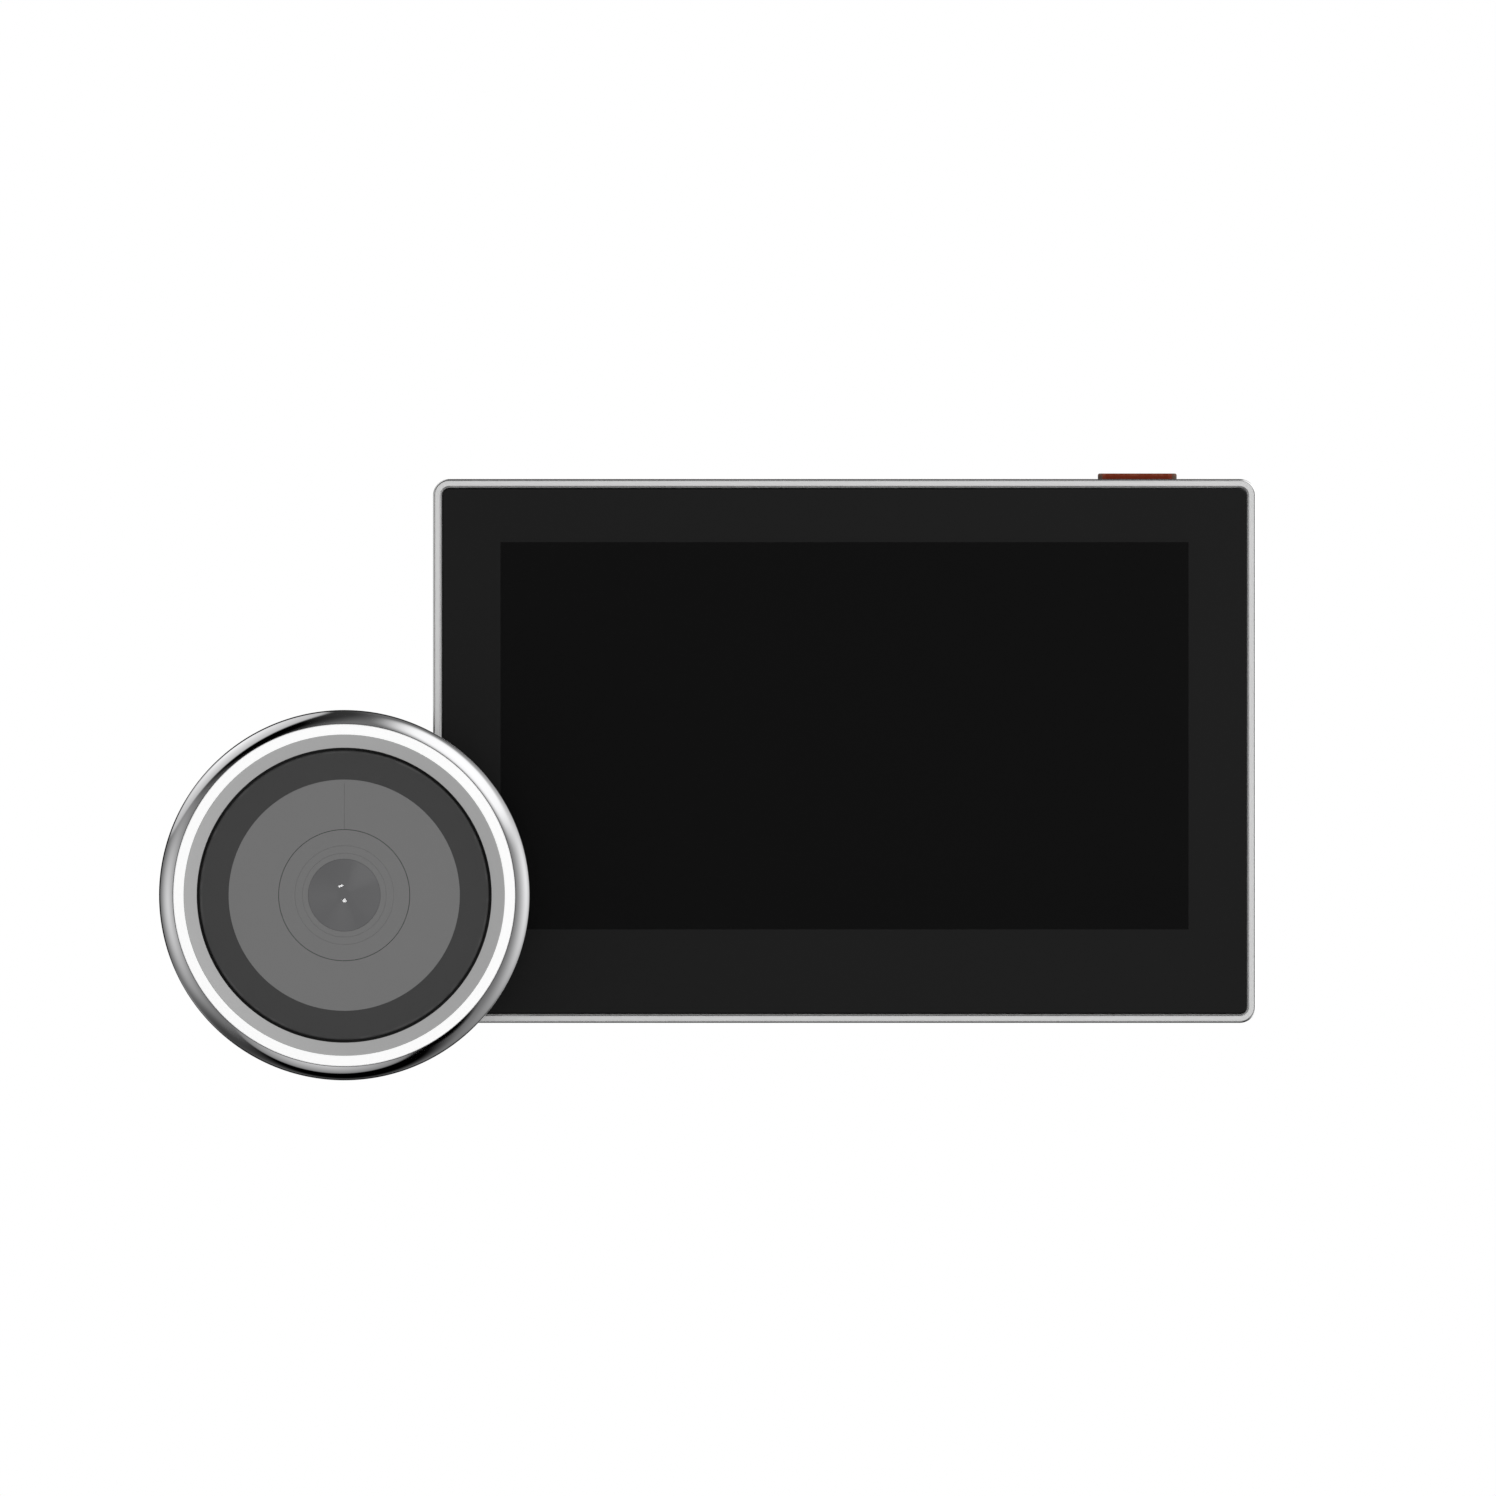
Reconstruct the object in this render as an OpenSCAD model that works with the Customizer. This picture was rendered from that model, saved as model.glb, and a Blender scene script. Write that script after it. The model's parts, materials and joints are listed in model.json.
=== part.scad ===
// Peephole door camera: an indoor screen unit on its door bracket, and the round outdoor camera
// with its bell push. X runs to the right, Z up and Y into the door.
// The origin is on the inner face of the door, on the axis of the bracket's sleeve nut.

/* [Screen] */
// Width of the screen's active area
active_w = 110.7; // [100:0.1:140]
// Height of the screen's active area
active_h = 62.3; // [57:0.1:90]
// From the active area to the side edge of the unit
side_margin = 10.85; // [10.5:0.05:20]
// From the active area to the top edge of the unit
top_margin = 10.15; // [9.5:0.05:20]
// From the active area to the bottom edge of the unit
bottom_margin = 15.05; // [14:0.05:30]
// Thickness of the glass front
glass_t = 1.1; // [0.8:0.1:1.6]
// Thickness of the screen module
lcd_t = 2.9; // [2.2:0.1:3.6]
// Dead border of the screen module at its sides and top
lcd_border = 3; // [2:0.1:3.6]
// Dead border of the screen module at its bottom
lcd_chin = 6.5; // [5:0.1:8]

/* [Indoor unit] */
// Outer corner radius
unit_corner = 2.6; // [2.2:0.1:6]
// Width of the bright rim that shows round the glass
rim_w = 1.25; // [1:0.05:1.6]
// Rounding of the rim's front edge
rim_round = 0.4; // [0.2:0.05:0.8]
// Depth of the metal frame
frame_depth = 11; // [10:0.5:16]
// Thickness of the ledge that carries the glass
ledge_t = 1.4; // [1:0.1:1.8]
// Depth of the rear cover behind the frame
cover_depth = 6; // [5:0.5:10]
// Wall of the rear cover
cover_wall = 1.8; // [1.4:0.1:2.2]
// Rounding of the rear cover's back edge
cover_round = 2.4; // [1:0.1:3]
// Thickness of the main board
board_t = 1.2; // [0.8:0.1:1.6]
// Height of the battery pack
battery_h = 62; // [40:1:66]
// Thickness of the battery pack
battery_t = 6; // [4:0.5:7]
// Radius of the speaker
speaker_r = 12; // [9:0.5:13]
// Depth of the speaker
speaker_t = 4.6; // [3:0.1:6]

/* [Wake button] */
// Length of the red key
wake_len = 12.7; // [8:0.1:18]
// Width of the red key
wake_width = 3; // [2:0.1:3.6]
// How far the key stands above the frame
wake_rise = 0.9; // [0.6:0.05:2]
// How far the key goes down
wake_travel = 0.5; // [0.3:0.05:0.8]
// From the key's middle to the right edge of the unit
wake_from_right = 19.1; // [17:0.1:26]

/* [Door bracket] */
// Thickness of the adhesive pad
pad_t = 1; // [0.8:0.1:2]
// Thickness of the bracket plate
plate_t = 1.6; // [1.2:0.1:2.5]
// Width of a hook
hook_w = 8; // [5:0.5:12]
// Height of a hook above its neck
hook_rise = 6; // [4:0.5:8]
// Height of the hooks above and below the middle
hook_z = 23; // [21:0.5:25]
// Metal left round the hooks
plate_margin = 3; // [2:0.5:6]
// Radius of the sleeve nut's grip
nut_r = 14; // [12:0.5:15]
// Depth of the sleeve nut's grip
nut_t = 5.5; // [4:0.5:6]
// Radius of the sleeve nut's hub
nut_hub_r = 11; // [9.5:0.5:12]

/* [Outdoor unit] */
// Diameter of the outdoor unit
head_d = 59.6; // [54:0.1:80]
// Depth of the outdoor unit with its gasket
head_t = 16; // [15:0.5:24]
// Width of the polished round at the edge
chrome_w = 2.25; // [1.6:0.05:3.5]
// Width of the white ring
light_w = 1.73; // [1.6:0.01:3]
// Width of the sloping grey ring
bevel_w = 2.09; // [1.5:0.01:3]
// Drop of the sloping grey ring
bevel_drop = 1.3; // [0.5:0.1:1.6]
// Gap round the bell push
bell_gap = 0.35; // [0.2:0.05:0.5]
// Width of the dark ring of the bell push
ring_w = 4.75; // [3.5:0.05:5.5]
// Depth of the bell push below the crest
face_drop = 1.6; // [0.8:0.1:2]
// How far the bell push goes in
bell_travel = 0.6; // [0.3:0.05:0.8]
// Radius of the grey hub round the lens
hub_r = 10.47; // [10:0.01:11]
// Radius of the lens
lens_r = 5.82; // [4:0.01:6]
// Height of the lens's dome
lens_rise = 0.9; // [0.4:0.1:1.2]
// Thickness of the rear gasket
gasket_t = 1; // [0.6:0.1:2]
// Outer radius of the stem
stem_r = 7; // [6.5:0.1:8]
// Wall of the stem
stem_wall = 1.8; // [1.2:0.1:2.2]
// Length of the stem behind the gasket
stem_len = 45; // [30:1:80]
// Step of the stem where it goes through the housing
stem_step = 0.8; // [0.4:0.1:1.2]

/* [Layout] */
// From the unit's left edge out to the outdoor unit's axis
head_out = 14.3; // [10:0.1:60]
// From the unit's bottom edge up to the outdoor unit's axis
head_up = 20.55; // [0:0.1:60]
// From the glass side of the unit to the outdoor unit's gasket
head_gap = 2; // [1.5:0.5:40]

/* [Hidden] */

$fn = 96;
hull_fn = 32;
round_steps = 4;
least_corner = 0.3;
// Overlap of solids that are one piece, and overshoot of cuts
join = 0.2;

// Clearances
glass_gap = 0.15;
glass_set = 0.1;
tape_t = 0.3;
tape_gap = 0.3;
lcd_gap = 0.4;
lip_gap = 0.1;
plate_gap = 0.4;
slide_gap = 0.25;
seat_gap = 0.1;
fit_gap = 0.05;
press_gap = 0.02;

// Outline of the indoor unit
unit_w = active_w + 2*side_margin;
unit_h = active_h + top_margin + bottom_margin;
inner_w = unit_w - 2*rim_w;
inner_h = unit_h - 2*rim_w;
inner_corner = unit_corner - rim_w;
glass_w = inner_w - 2*glass_gap;
glass_h = inner_h - 2*glass_gap;
glass_corner = inner_corner - glass_gap;
lcd_w = active_w + 2*lcd_border;
lcd_h = active_h + lcd_border + lcd_chin;
lcd_z = (bottom_margin - top_margin + lcd_border - lcd_chin)/2;
lcd_bottom = lcd_z - lcd_h/2;

// Depths of the bracket and its nut, from the door at zero towards the viewer
plate_back = -pad_t;
plate_front = plate_back - plate_t;
nut_back = plate_front - seat_gap;
nut_front = nut_back - nut_t;
retainer_front = plate_back + seat_gap;
retainer_t = 0.6;
nut_end = retainer_front + retainer_t + fit_gap;
nut_neck_step = 1;
nut_neck_r = nut_hub_r - nut_neck_step;
retainer_over = 2.5;
retainer_r = nut_hub_r + retainer_over;
thread_r = stem_r + seat_gap;
grip_count = 18;
grip_cut_r = 1.3;

// Depths of the indoor unit
cover_back = plate_front - plate_gap;
cover_inner = cover_back - cover_wall;
split_y = cover_back - cover_depth;
unit_front = split_y - frame_depth;
glass_front = unit_front + glass_set;
glass_back = glass_front + glass_t;
ledge_front = glass_back + tape_t;
ledge_back = ledge_front + ledge_t;
lcd_back = glass_back + lcd_t;

// Pocket in the rear cover for the nut, the lead and its socket
cable_room = 1.9;
pocket_wall = 1.5;
pocket_room = 2.5;
pocket_corner = 6;
lift_room = 0.4;
lift_travel = hook_rise + lift_room;
socket_w = 12;
socket_h = 4.5;
socket_gap = 1.5;
pocket_floor = nut_front - cable_room;
pocket_w = 2*(nut_r + pocket_room);
pocket_top = nut_r + pocket_room;
socket_z = -(nut_r + lift_travel + socket_gap + socket_h/2);
pocket_bottom = socket_z - socket_h/2 - 2*pocket_room;
pocket_h = pocket_top - pocket_bottom;
pocket_z = (pocket_top + pocket_bottom)/2;

// Hooks and their slots
hook_land = 1;
hook_x = pocket_w/2 + pocket_wall + hook_land + slide_gap + hook_w/2;
hook_neck_top = plate_t/2;
hook_leg_back = cover_inner - slide_gap;
hook_leg_front = hook_leg_back - plate_t;
slot_w = hook_w + 2*slide_gap;
slot_top = hook_neck_top + seat_gap;
slot_h = plate_t + hook_rise + 3*slide_gap;
plate_w = 2*(hook_x + hook_w/2 + plate_margin);
plate_h = 2*(hook_z + plate_t + hook_rise + plate_margin);
plate_corner = 6;
pad_in = 1;
pad_hole_room = 1.5;
pad_hole_r = retainer_r + pad_hole_room;

// Main board and what sits on it
board_gap = 0.6;
board_back = pocket_floor - pocket_wall - board_gap;
board_front = board_back - board_t;
board_left = -16;
board_in = 13.2;
board_right = unit_w/2 - board_in;
board_w = board_right - board_left;
board_x = (board_left + board_right)/2;
board_edge = 2.25;
board_h = inner_h - 2*board_edge;
board_room = board_front - lcd_back;
boss_in = 3.5;
post_drop = 14;
board_posts = [
    [board_left + boss_in, board_h/2 - boss_in],
    [board_right - boss_in, board_h/2 - boss_in - post_drop],
    [board_right - boss_in, boss_in - board_h/2]
];
board_post_r = 2.8;
screw_r = 0.98;
pilot_r = screw_r + press_gap;
pan_r = 1.8;
pan_t = 1;
shield_w = 30;
shield_h = 24;
shield_room = 0.9;
shield_t = board_room - shield_room;
shield_x = 28;
shield_z = 8;
tail_w = 16;
tail_t = 0.2;
tail_run = 5;
tail_plug_t = 1;
tail_plug_h = 4;

// Corner screws of the rear cover
corner_in = 5;
boss_x = unit_w/2 - corner_in;
boss_z = unit_h/2 - corner_in;
boss_r = 2.3;
column_r = 2.6;
screw_play = 0.12;
screw_hole_r = screw_r + screw_play;
pan_play = 0.2;
head_hole_r = pan_r + pan_play;
head_hole_depth = 1.6;
cover_screw_grip = 4.5;
lip_t = 1.2;
lip_h = 2.5;

// Battery and speaker in the rear cover
hook_zone = hook_x + slot_w/2;
cavity_x = unit_w/2 - rim_w - lip_gap - lip_t;
battery_gap = 1.5;
battery_w = cavity_x - hook_zone - 2*battery_gap;
battery_x = -(cavity_x + hook_zone)/2;
battery_corner = 2;
speaker_x = (cavity_x + hook_zone)/2;
speaker_z = -16;
speaker_rib = 1;
speaker_hole_r = 0.7;
speaker_hole_step = 2.6;

// Wake key, from the top wall of the frame down
wall_in_z = unit_h/2 - rim_w;
wake_x = unit_w/2 - wake_from_right;
wake_flange_t = 0.9;
wake_flange_over = 0.5;
wake_gap = 0.15;
wake_flange_top = wall_in_z - seat_gap;
wake_flange_bottom = wake_flange_top - wake_flange_t;
wake_spare = 0.3;
switch_top = wake_flange_bottom - wake_travel - wake_spare;
switch_w = 7;
switch_h = 3.4;
switch_d = board_room - seat_gap;
wake_y = board_front - switch_d/2;
plunger_w = 3;
plunger_d = 1.2;
plunger_in = 1;

// Charging socket and microphone in the bottom wall
usb_x = 30;
usb_w = 8.9;
usb_t = 3.2;
usb_shell = 0.3;
usb_gap = 0.3;
usb_y = board_front - usb_t/2;
usb_len = lcd_bottom - usb_gap + wall_in_z - seat_gap;
mic_x = 8;
mic_from_board = 1.2;
mic_y = board_front - mic_from_board;
mic_r = 1.6;
mic_t = 1.4;
mic_boot_r = 2.2;
mic_hole_r = 0.6;

// Outdoor unit: place and radii, from the edge inwards
head_x = -unit_w/2 - head_out;
head_z = head_up - unit_h/2;
head_back = unit_front - head_gap;
head_base = head_back - gasket_t;
head_r = head_d/2;
crest_r = head_r - chrome_w;
light_in = crest_r - light_w;
bevel_in = light_in - bevel_w;
face_r = bevel_in - bell_gap;
plate_r = face_r - ring_w;
bezel_lip = 0.65;
bore_r = crest_r + bezel_lip;
flange_over = 1;
flange_r = bevel_in + flange_over;
flange_room = 0.3;
housing_in = flange_r + flange_room;
housing_r = bore_r - seat_gap;

// Outdoor unit: heights above its base plane, towards the viewer
crest_h = head_t - gasket_t;
face_h = crest_h - face_drop;
face_t = 1.4;
seat_h = face_h - face_t;
bevel_depth = 3.4;
bevel_back_h = crest_h - bevel_depth;
bezel_lip_t = 2;
bezel_lip_h = crest_h - bezel_lip_t;
led_board_t = 0.8;
rim_h = bevel_back_h - led_board_t;
flange_top_h = bevel_back_h - seat_gap;
flange_t = 1;
flange_bottom_h = flange_top_h - flange_t;
floor_t = 2;
post_h = 3;
head_board_t = 1.2;
board_base_h = floor_t + post_h;
board_top_h = board_base_h + head_board_t;
bell_seat_w = 1.4;
bell_chamfer = 0.35;
stem_neck_r = stem_r + stem_step;
stem_flange_over = 1.7;
stem_flange_r = stem_neck_r + stem_flange_over;
stem_flange_t = 1.5;
gasket_in = 0.8;
stem_end = head_back + stem_len;

// Lens and its holder
hub_gap = 0.15;
hub_disc_t = 1.6;
hub_back_h = face_h - hub_disc_t;
hub_line_r = [6.74, 7.95];
line_w = 0.14;
line_depth = 0.12;
skirt_t = 1.5;
holder_r = hub_r - skirt_t;
holder_wall = 2;
skirt_h = 2.8;
barrel_r = holder_r - holder_wall - fit_gap;
barrel_bore_r = 4.6;
lens_set = 0.2;
lens_edge_h = face_h - lens_set;
sensor_w = 7;
sensor_t = 1;
sensor_room = 0.5;
barrel_base_h = board_top_h + sensor_t + sensor_room;
rear_lens_t = 1.4;
dome_r = (lens_r*lens_r + lens_rise*lens_rise)/(2*lens_rise);

// Bell push works
bell_switch_w = 6;
bell_switch_t = 2.6;
bell_switch_z = (hub_r + hub_gap + plate_r - bell_seat_w)/2;
bell_plunger_r = 1.45;
bell_plunger_in = 0.7;
spring_place_r = (plate_r - bell_seat_w + flange_r)/2;
spring_angles = [90, 210, 330];
spring_turns = 4;
spring_r = 1.5;
spring_wire_r = 0.22;
spring_rings = 8;
spring_sides = 6;
spring_h = flange_bottom_h - board_top_h;
head_screw_in = 4.6;
head_screw_place_r = housing_in - head_screw_in;
head_screw_angles = [30, 150, 270];
head_screw_head_r = 1.6;
head_post_r = 2.4;
led_count = 8;
led_w = 2;
led_d = 1;
led_t = 0.7;
led_r = (light_in + bore_r)/2;
led_groove_w = 1.4;
led_groove_h = 0.9;
grommet_t = 4;
grommet_slot_w = 7;
grommet_slot_t = 0.9;

// Extrudes an outline in X and Z from y_back towards the viewer
module sheet_at(y_back, thick) {
    translate([0, y_back, 0])
        rotate([90, 0, 0])
            linear_extrude(height = thick)
                children();
}

// Turns a profile of radius and height about the Y axis, with its height towards the viewer
module turned_at(y_base) {
    translate([0, y_base, 0])
        rotate([90, 0, 0])
            rotate_extrude()
                children();
}

// Round bar along Y from y_back towards the viewer
module bar_at(y_back, len, r) {
    translate([0, y_back, 0])
        rotate([90, 0, 0])
            cylinder(h = len, r = r);
}

// Block centred on x and z that starts at y_front and runs towards the door
module block(x, y_front, z, w, d, h) {
    translate([x - w/2, y_front, z - h/2])
        cube([w, d, h]);
}

// Rectangle with round corners
module rounded_rect(w, h, r) {
    square([w - 2*r, h], center = true);
    square([w, h - 2*r], center = true);
    for (sx = [-1, 1], sz = [-1, 1])
        translate([sx*(w/2 - r), sz*(h/2 - r)])
            circle(r);
}

// Bar with round ends
module pill(len, w) {
    square([len - w, w], center = true);
    for (s = [-1, 1])
        translate([s*(len - w)/2, 0])
            circle(w/2);
}

// Slab with round corners whose front edge is rounded
module soft_slab(y_front, depth, w, h, corner, edge) {
    hull()
        for (i = [0 : round_steps]) {
            a = 90*i/round_steps;
            inset = edge*(1 - sin(a));
            drop = edge*(1 - cos(a));
            sheet_at(y_front + depth, depth - drop)
                rounded_rect(w - 2*inset, h - 2*inset, max(corner - inset, least_corner), $fn = hull_fn);
        }
}

// Pan head screw that runs from its head's seat towards the viewer, or away from them
module screw_at(y_seat, len, way) {
    translate([0, y_seat, 0])
        rotate([90*way, 0, 0])
            translate([0, 0, -pan_t]) {
                cylinder(h = pan_t + len, r = screw_r);
                cylinder(h = pan_t, r = pan_r);
            }
}

// Places its children at the four corner screws of the rear cover
module at_corners() {
    for (sx = [-1, 1], sz = [-1, 1])
        translate([sx*boss_x, 0, sz*boss_z])
            children();
}

// Places its children at the screws of the main board
module at_board_posts() {
    for (p = board_posts)
        translate([p[0], 0, p[1]])
            children();
}

// Places its children at the four hooks
module at_hooks() {
    for (sx = [-1, 1], sz = [-1, 1])
        translate([sx*hook_x, 0, sz*hook_z])
            children();
}

// Places its children on the outdoor unit's axis
module at_head() {
    translate([head_x, 0, head_z])
        children();
}

// Places its children round the outdoor unit's axis
module round_head(angles, r) {
    for (a = angles)
        translate([r*cos(a), 0, r*sin(a)])
            children();
}

// Ring between two radii and two heights above the outdoor unit's base plane
module head_ring(r_in, r_out, h_low, h_high) {
    turned_at(head_base)
        translate([r_in, h_low])
            square([r_out - r_in, h_high - h_low]);
}

// Opening of the cable pocket, grown by its wall where asked
module pocket_outline(grow) {
    translate([0, pocket_z])
        rounded_rect(pocket_w + 2*grow, pocket_h + 2*grow, pocket_corner + grow);
}

// Bent steel plate with four hooks and a round hole for the nut's hub
module bracket_plate() {
    color("slategray") {
        difference() {
            sheet_at(plate_back, plate_t)
                rounded_rect(plate_w, plate_h, plate_corner);
            bar_at(plate_back + join, plate_t + 2*join, nut_hub_r + fit_gap);
            at_hooks()
                block(0, plate_front - join, hook_neck_top + hook_rise/2, hook_w, plate_t + 2*join, hook_rise);
        }
        at_hooks() {
            neck_d = plate_front + join - hook_leg_front;
            block(0, hook_leg_front, 0, hook_w, neck_d, plate_t);
            leg_h = plate_t + hook_rise;
            block(0, hook_leg_front, leg_h/2 - plate_t/2, hook_w, plate_t, leg_h);
        }
    }
}

// Adhesive foam on the door side of the plate
module door_pad() {
    color("dimgray")
        sheet_at(0, pad_t)
            difference() {
                rounded_rect(plate_w - 2*pad_in, plate_h - 2*pad_in, plate_corner - pad_in);
                circle(pad_hole_r);
            }
}

// Captive nut that takes the stem, with a scalloped grip
module sleeve_nut() {
    color("goldenrod")
        difference() {
            union() {
                bar_at(nut_back, nut_t, nut_r);
                bar_at(retainer_front, retainer_front - nut_back + join, nut_hub_r);
                bar_at(nut_end, nut_end - nut_back, nut_neck_r);
            }
            bar_at(nut_end + join, nut_end - nut_front + 2*join, thread_r);
            for (i = [0 : grip_count - 1])
                rotate([0, i*360/grip_count, 0])
                    translate([nut_r + grip_cut_r/2, 0, 0])
                        bar_at(nut_back + fit_gap, nut_t + 2*join, grip_cut_r);
        }
}

// Ring that keeps the nut in the plate
module nut_retainer() {
    color("darkgray")
        sheet_at(retainer_front + retainer_t, retainer_t)
            difference() {
                circle(retainer_r);
                circle(nut_neck_r + press_gap);
                translate([0, -retainer_r])
                    square([nut_neck_r/2, retainer_r], center = true);
            }
}

// Bright metal frame with the ledge for the glass and the corner bosses
module front_frame() {
    boss_end = split_y - seat_gap;
    color("silver")
        difference() {
            union() {
                difference() {
                    soft_slab(unit_front, frame_depth, unit_w, unit_h, unit_corner, rim_round);
                    sheet_at(split_y + join, frame_depth + 2*join)
                        rounded_rect(inner_w, inner_h, inner_corner);
                }
                sheet_at(ledge_back, ledge_t)
                    difference() {
                        rounded_rect(inner_w + join, inner_h + join, inner_corner);
                        translate([0, lcd_z])
                            square([lcd_w + 2*lcd_gap, lcd_h + 2*lcd_gap], center = true);
                    }
                at_corners()
                    bar_at(boss_end, boss_end - ledge_back + join, boss_r);
            }
            at_corners()
                bar_at(boss_end + join, cover_screw_grip + 2*join, pilot_r);
            translate([wake_x, wake_y, wall_in_z - join])
                linear_extrude(height = rim_w + 2*join)
                    pill(wake_len + 2*wake_gap, wake_width + 2*wake_gap);
            translate([usb_x, usb_y, -unit_h/2 - join])
                linear_extrude(height = rim_w + 2*join)
                    pill(usb_w + 2*usb_gap, usb_t + 2*usb_gap);
            translate([mic_x, mic_y, -unit_h/2 - join])
                cylinder(h = rim_w + 2*join, r = mic_hole_r);
        }
}

// Glass front
module cover_glass() {
    color([0.05, 0.05, 0.055])
        sheet_at(glass_back, glass_t)
            rounded_rect(glass_w, glass_h, glass_corner);
}

// Adhesive frame between the glass and its ledge
module glass_tape() {
    color("black")
        sheet_at(ledge_front, tape_t)
            difference() {
                square([glass_w - 2*tape_gap, glass_h - 2*tape_gap], center = true);
                translate([0, lcd_z])
                    square([lcd_w + 2*lcd_gap, lcd_h + 2*lcd_gap], center = true);
            }
}

// Screen module, bonded to the back of the glass
module lcd_panel() {
    color([0.07, 0.07, 0.08])
        block(0, glass_back, lcd_z, lcd_w, lcd_t, lcd_h);
}

// Flat tail from the screen module to its connector on the board
module lcd_flex() {
    bend_z = lcd_bottom + tail_run;
    color("darkorange") {
        block(0, lcd_back, bend_z + tail_run/2, tail_w, tail_t, tail_run);
        block(0, lcd_back, bend_z, tail_w, board_room - tail_plug_t, tail_t);
        block(0, board_front - tail_plug_t - tail_t, bend_z - tail_run/2, tail_w, tail_t, tail_run);
        block(0, board_front - tail_plug_t, bend_z - tail_plug_h/2, tail_w, tail_plug_t, tail_plug_h);
    }
}

// Main circuit board
module main_board() {
    color("darkgreen")
        difference() {
            block(board_x, board_front, 0, board_w, board_t, board_h);
            at_board_posts()
                bar_at(board_back + join, board_t + 2*join, screw_hole_r);
        }
}

// Tinned can over the processor
module shield_can() {
    skin = 0.2;
    color("lightgray")
        difference() {
            block(shield_x, board_front - shield_t, shield_z, shield_w, shield_t, shield_h);
            block(shield_x, board_front - shield_t + skin, shield_z,
                shield_w - 2*skin, shield_t, shield_h - 2*skin);
        }
}

// Screws of the main board
module board_screws() {
    color("gainsboro")
        at_board_posts()
            screw_at(board_front, board_t + cover_screw_grip, -1);
}

// Battery pack, stuck to the inside of the rear cover
module battery_pack() {
    color("lightsteelblue")
        sheet_at(cover_inner, battery_t)
            translate([battery_x, 0])
                rounded_rect(battery_w, battery_h, battery_corner);
}

// Speaker that faces the holes in the rear cover
module speaker() {
    rim_t = 1.5;
    rim_in = speaker_r - 1.6;
    magnet_r = speaker_r/2;
    magnet_t = 1.6;
    color("dimgray")
        translate([speaker_x, 0, speaker_z])
            turned_at(cover_inner)
                polygon([
                    [0, rim_t + 0.6], [rim_in/2, rim_t], [rim_in, rim_t/2], [rim_in, 0], [speaker_r, 0],
                    [speaker_r, rim_t], [magnet_r, speaker_t - magnet_t], [magnet_r, speaker_t], [0, speaker_t]
                ]);
}

// Microphone capsule over its hole in the bottom wall
module microphone() {
    color("gray")
        translate([mic_x, mic_y, -wall_in_z])
            difference() {
                cylinder(h = mic_t, r = mic_r);
                translate([0, 0, -join])
                    cylinder(h = mic_t/2, r = mic_hole_r);
            }
}

// Rubber sleeve that holds the capsule
module mic_boot() {
    color("black")
        translate([mic_x, mic_y, -wall_in_z])
            difference() {
                cylinder(h = mic_t, r = mic_boot_r);
                translate([0, 0, -join])
                    cylinder(h = mic_t + 2*join, r = mic_r + press_gap);
            }
}

// Charging socket in the bottom edge
module usb_socket() {
    tongue_w = 6.6;
    tongue_t = 0.7;
    mouth = 5.2;
    color("silver")
        translate([usb_x, usb_y, -wall_in_z + seat_gap]) {
            difference() {
                linear_extrude(height = usb_len)
                    pill(usb_w, usb_t);
                translate([0, 0, -join])
                    linear_extrude(height = mouth + join)
                        pill(usb_w - 2*usb_shell, usb_t - 2*usb_shell);
            }
            translate([-tongue_w/2, -tongue_t/2, usb_shell])
                cube([tongue_w, tongue_t, mouth]);
        }
}

// Socket for the outdoor camera's lead, in the floor of the pocket
module camera_socket() {
    socket_d = board_gap + pocket_wall + 1.2;
    slot_d = 2.2;
    slot_l = 9.6;
    slot_t = 1.6;
    color("ivory")
        difference() {
            block(0, board_back, socket_z, socket_w, socket_d, socket_h);
            block(0, board_back + socket_d - slot_d, socket_z, slot_l, slot_d + join, slot_t);
        }
}

// Red key in the top edge
module wake_button() {
    color([0.42, 0.16, 0.1])
        translate([wake_x, wake_y, 0]) {
            translate([0, 0, wake_flange_top - join])
                linear_extrude(height = unit_h/2 + wake_rise - wake_flange_top + join)
                    pill(wake_len, wake_width);
            translate([0, 0, wake_flange_bottom])
                linear_extrude(height = wake_flange_t)
                    pill(wake_len + 2*wake_flange_over, wake_width + 2*wake_flange_over);
        }
}

// Plunger of the switch, which goes down with the key
module wake_plunger() {
    plunger_len = wake_flange_bottom - switch_top + plunger_in;
    color("white")
        block(wake_x, wake_y - plunger_d/2, wake_flange_bottom - plunger_len/2,
            plunger_w, plunger_d, plunger_len);
}

// Switch on the top edge of the board
module wake_switch() {
    well = plunger_in + wake_travel + slide_gap;
    color("black")
        difference() {
            block(wake_x, board_front - switch_d, switch_top - switch_h/2, switch_w, switch_d, switch_h);
            block(wake_x, wake_y - plunger_d/2 - wake_gap, switch_top - well/2 + join/2,
                plunger_w + 2*wake_gap, plunger_d + 2*wake_gap, well + join);
        }
}

// Rings of small holes for the speaker
module speaker_holes() {
    rings = floor((speaker_r - 3)/speaker_hole_step);
    translate([speaker_x, 0, speaker_z]) {
        bar_at(cover_back + join, cover_wall + 2*join, speaker_hole_r);
        for (ring = [1 : rings])
            for (i = [0 : 6*ring - 1])
                rotate([0, i*60/ring, 0])
                    translate([ring*speaker_hole_step, 0, 0])
                        bar_at(cover_back + join, cover_wall + 2*join, speaker_hole_r);
    }
}

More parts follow.
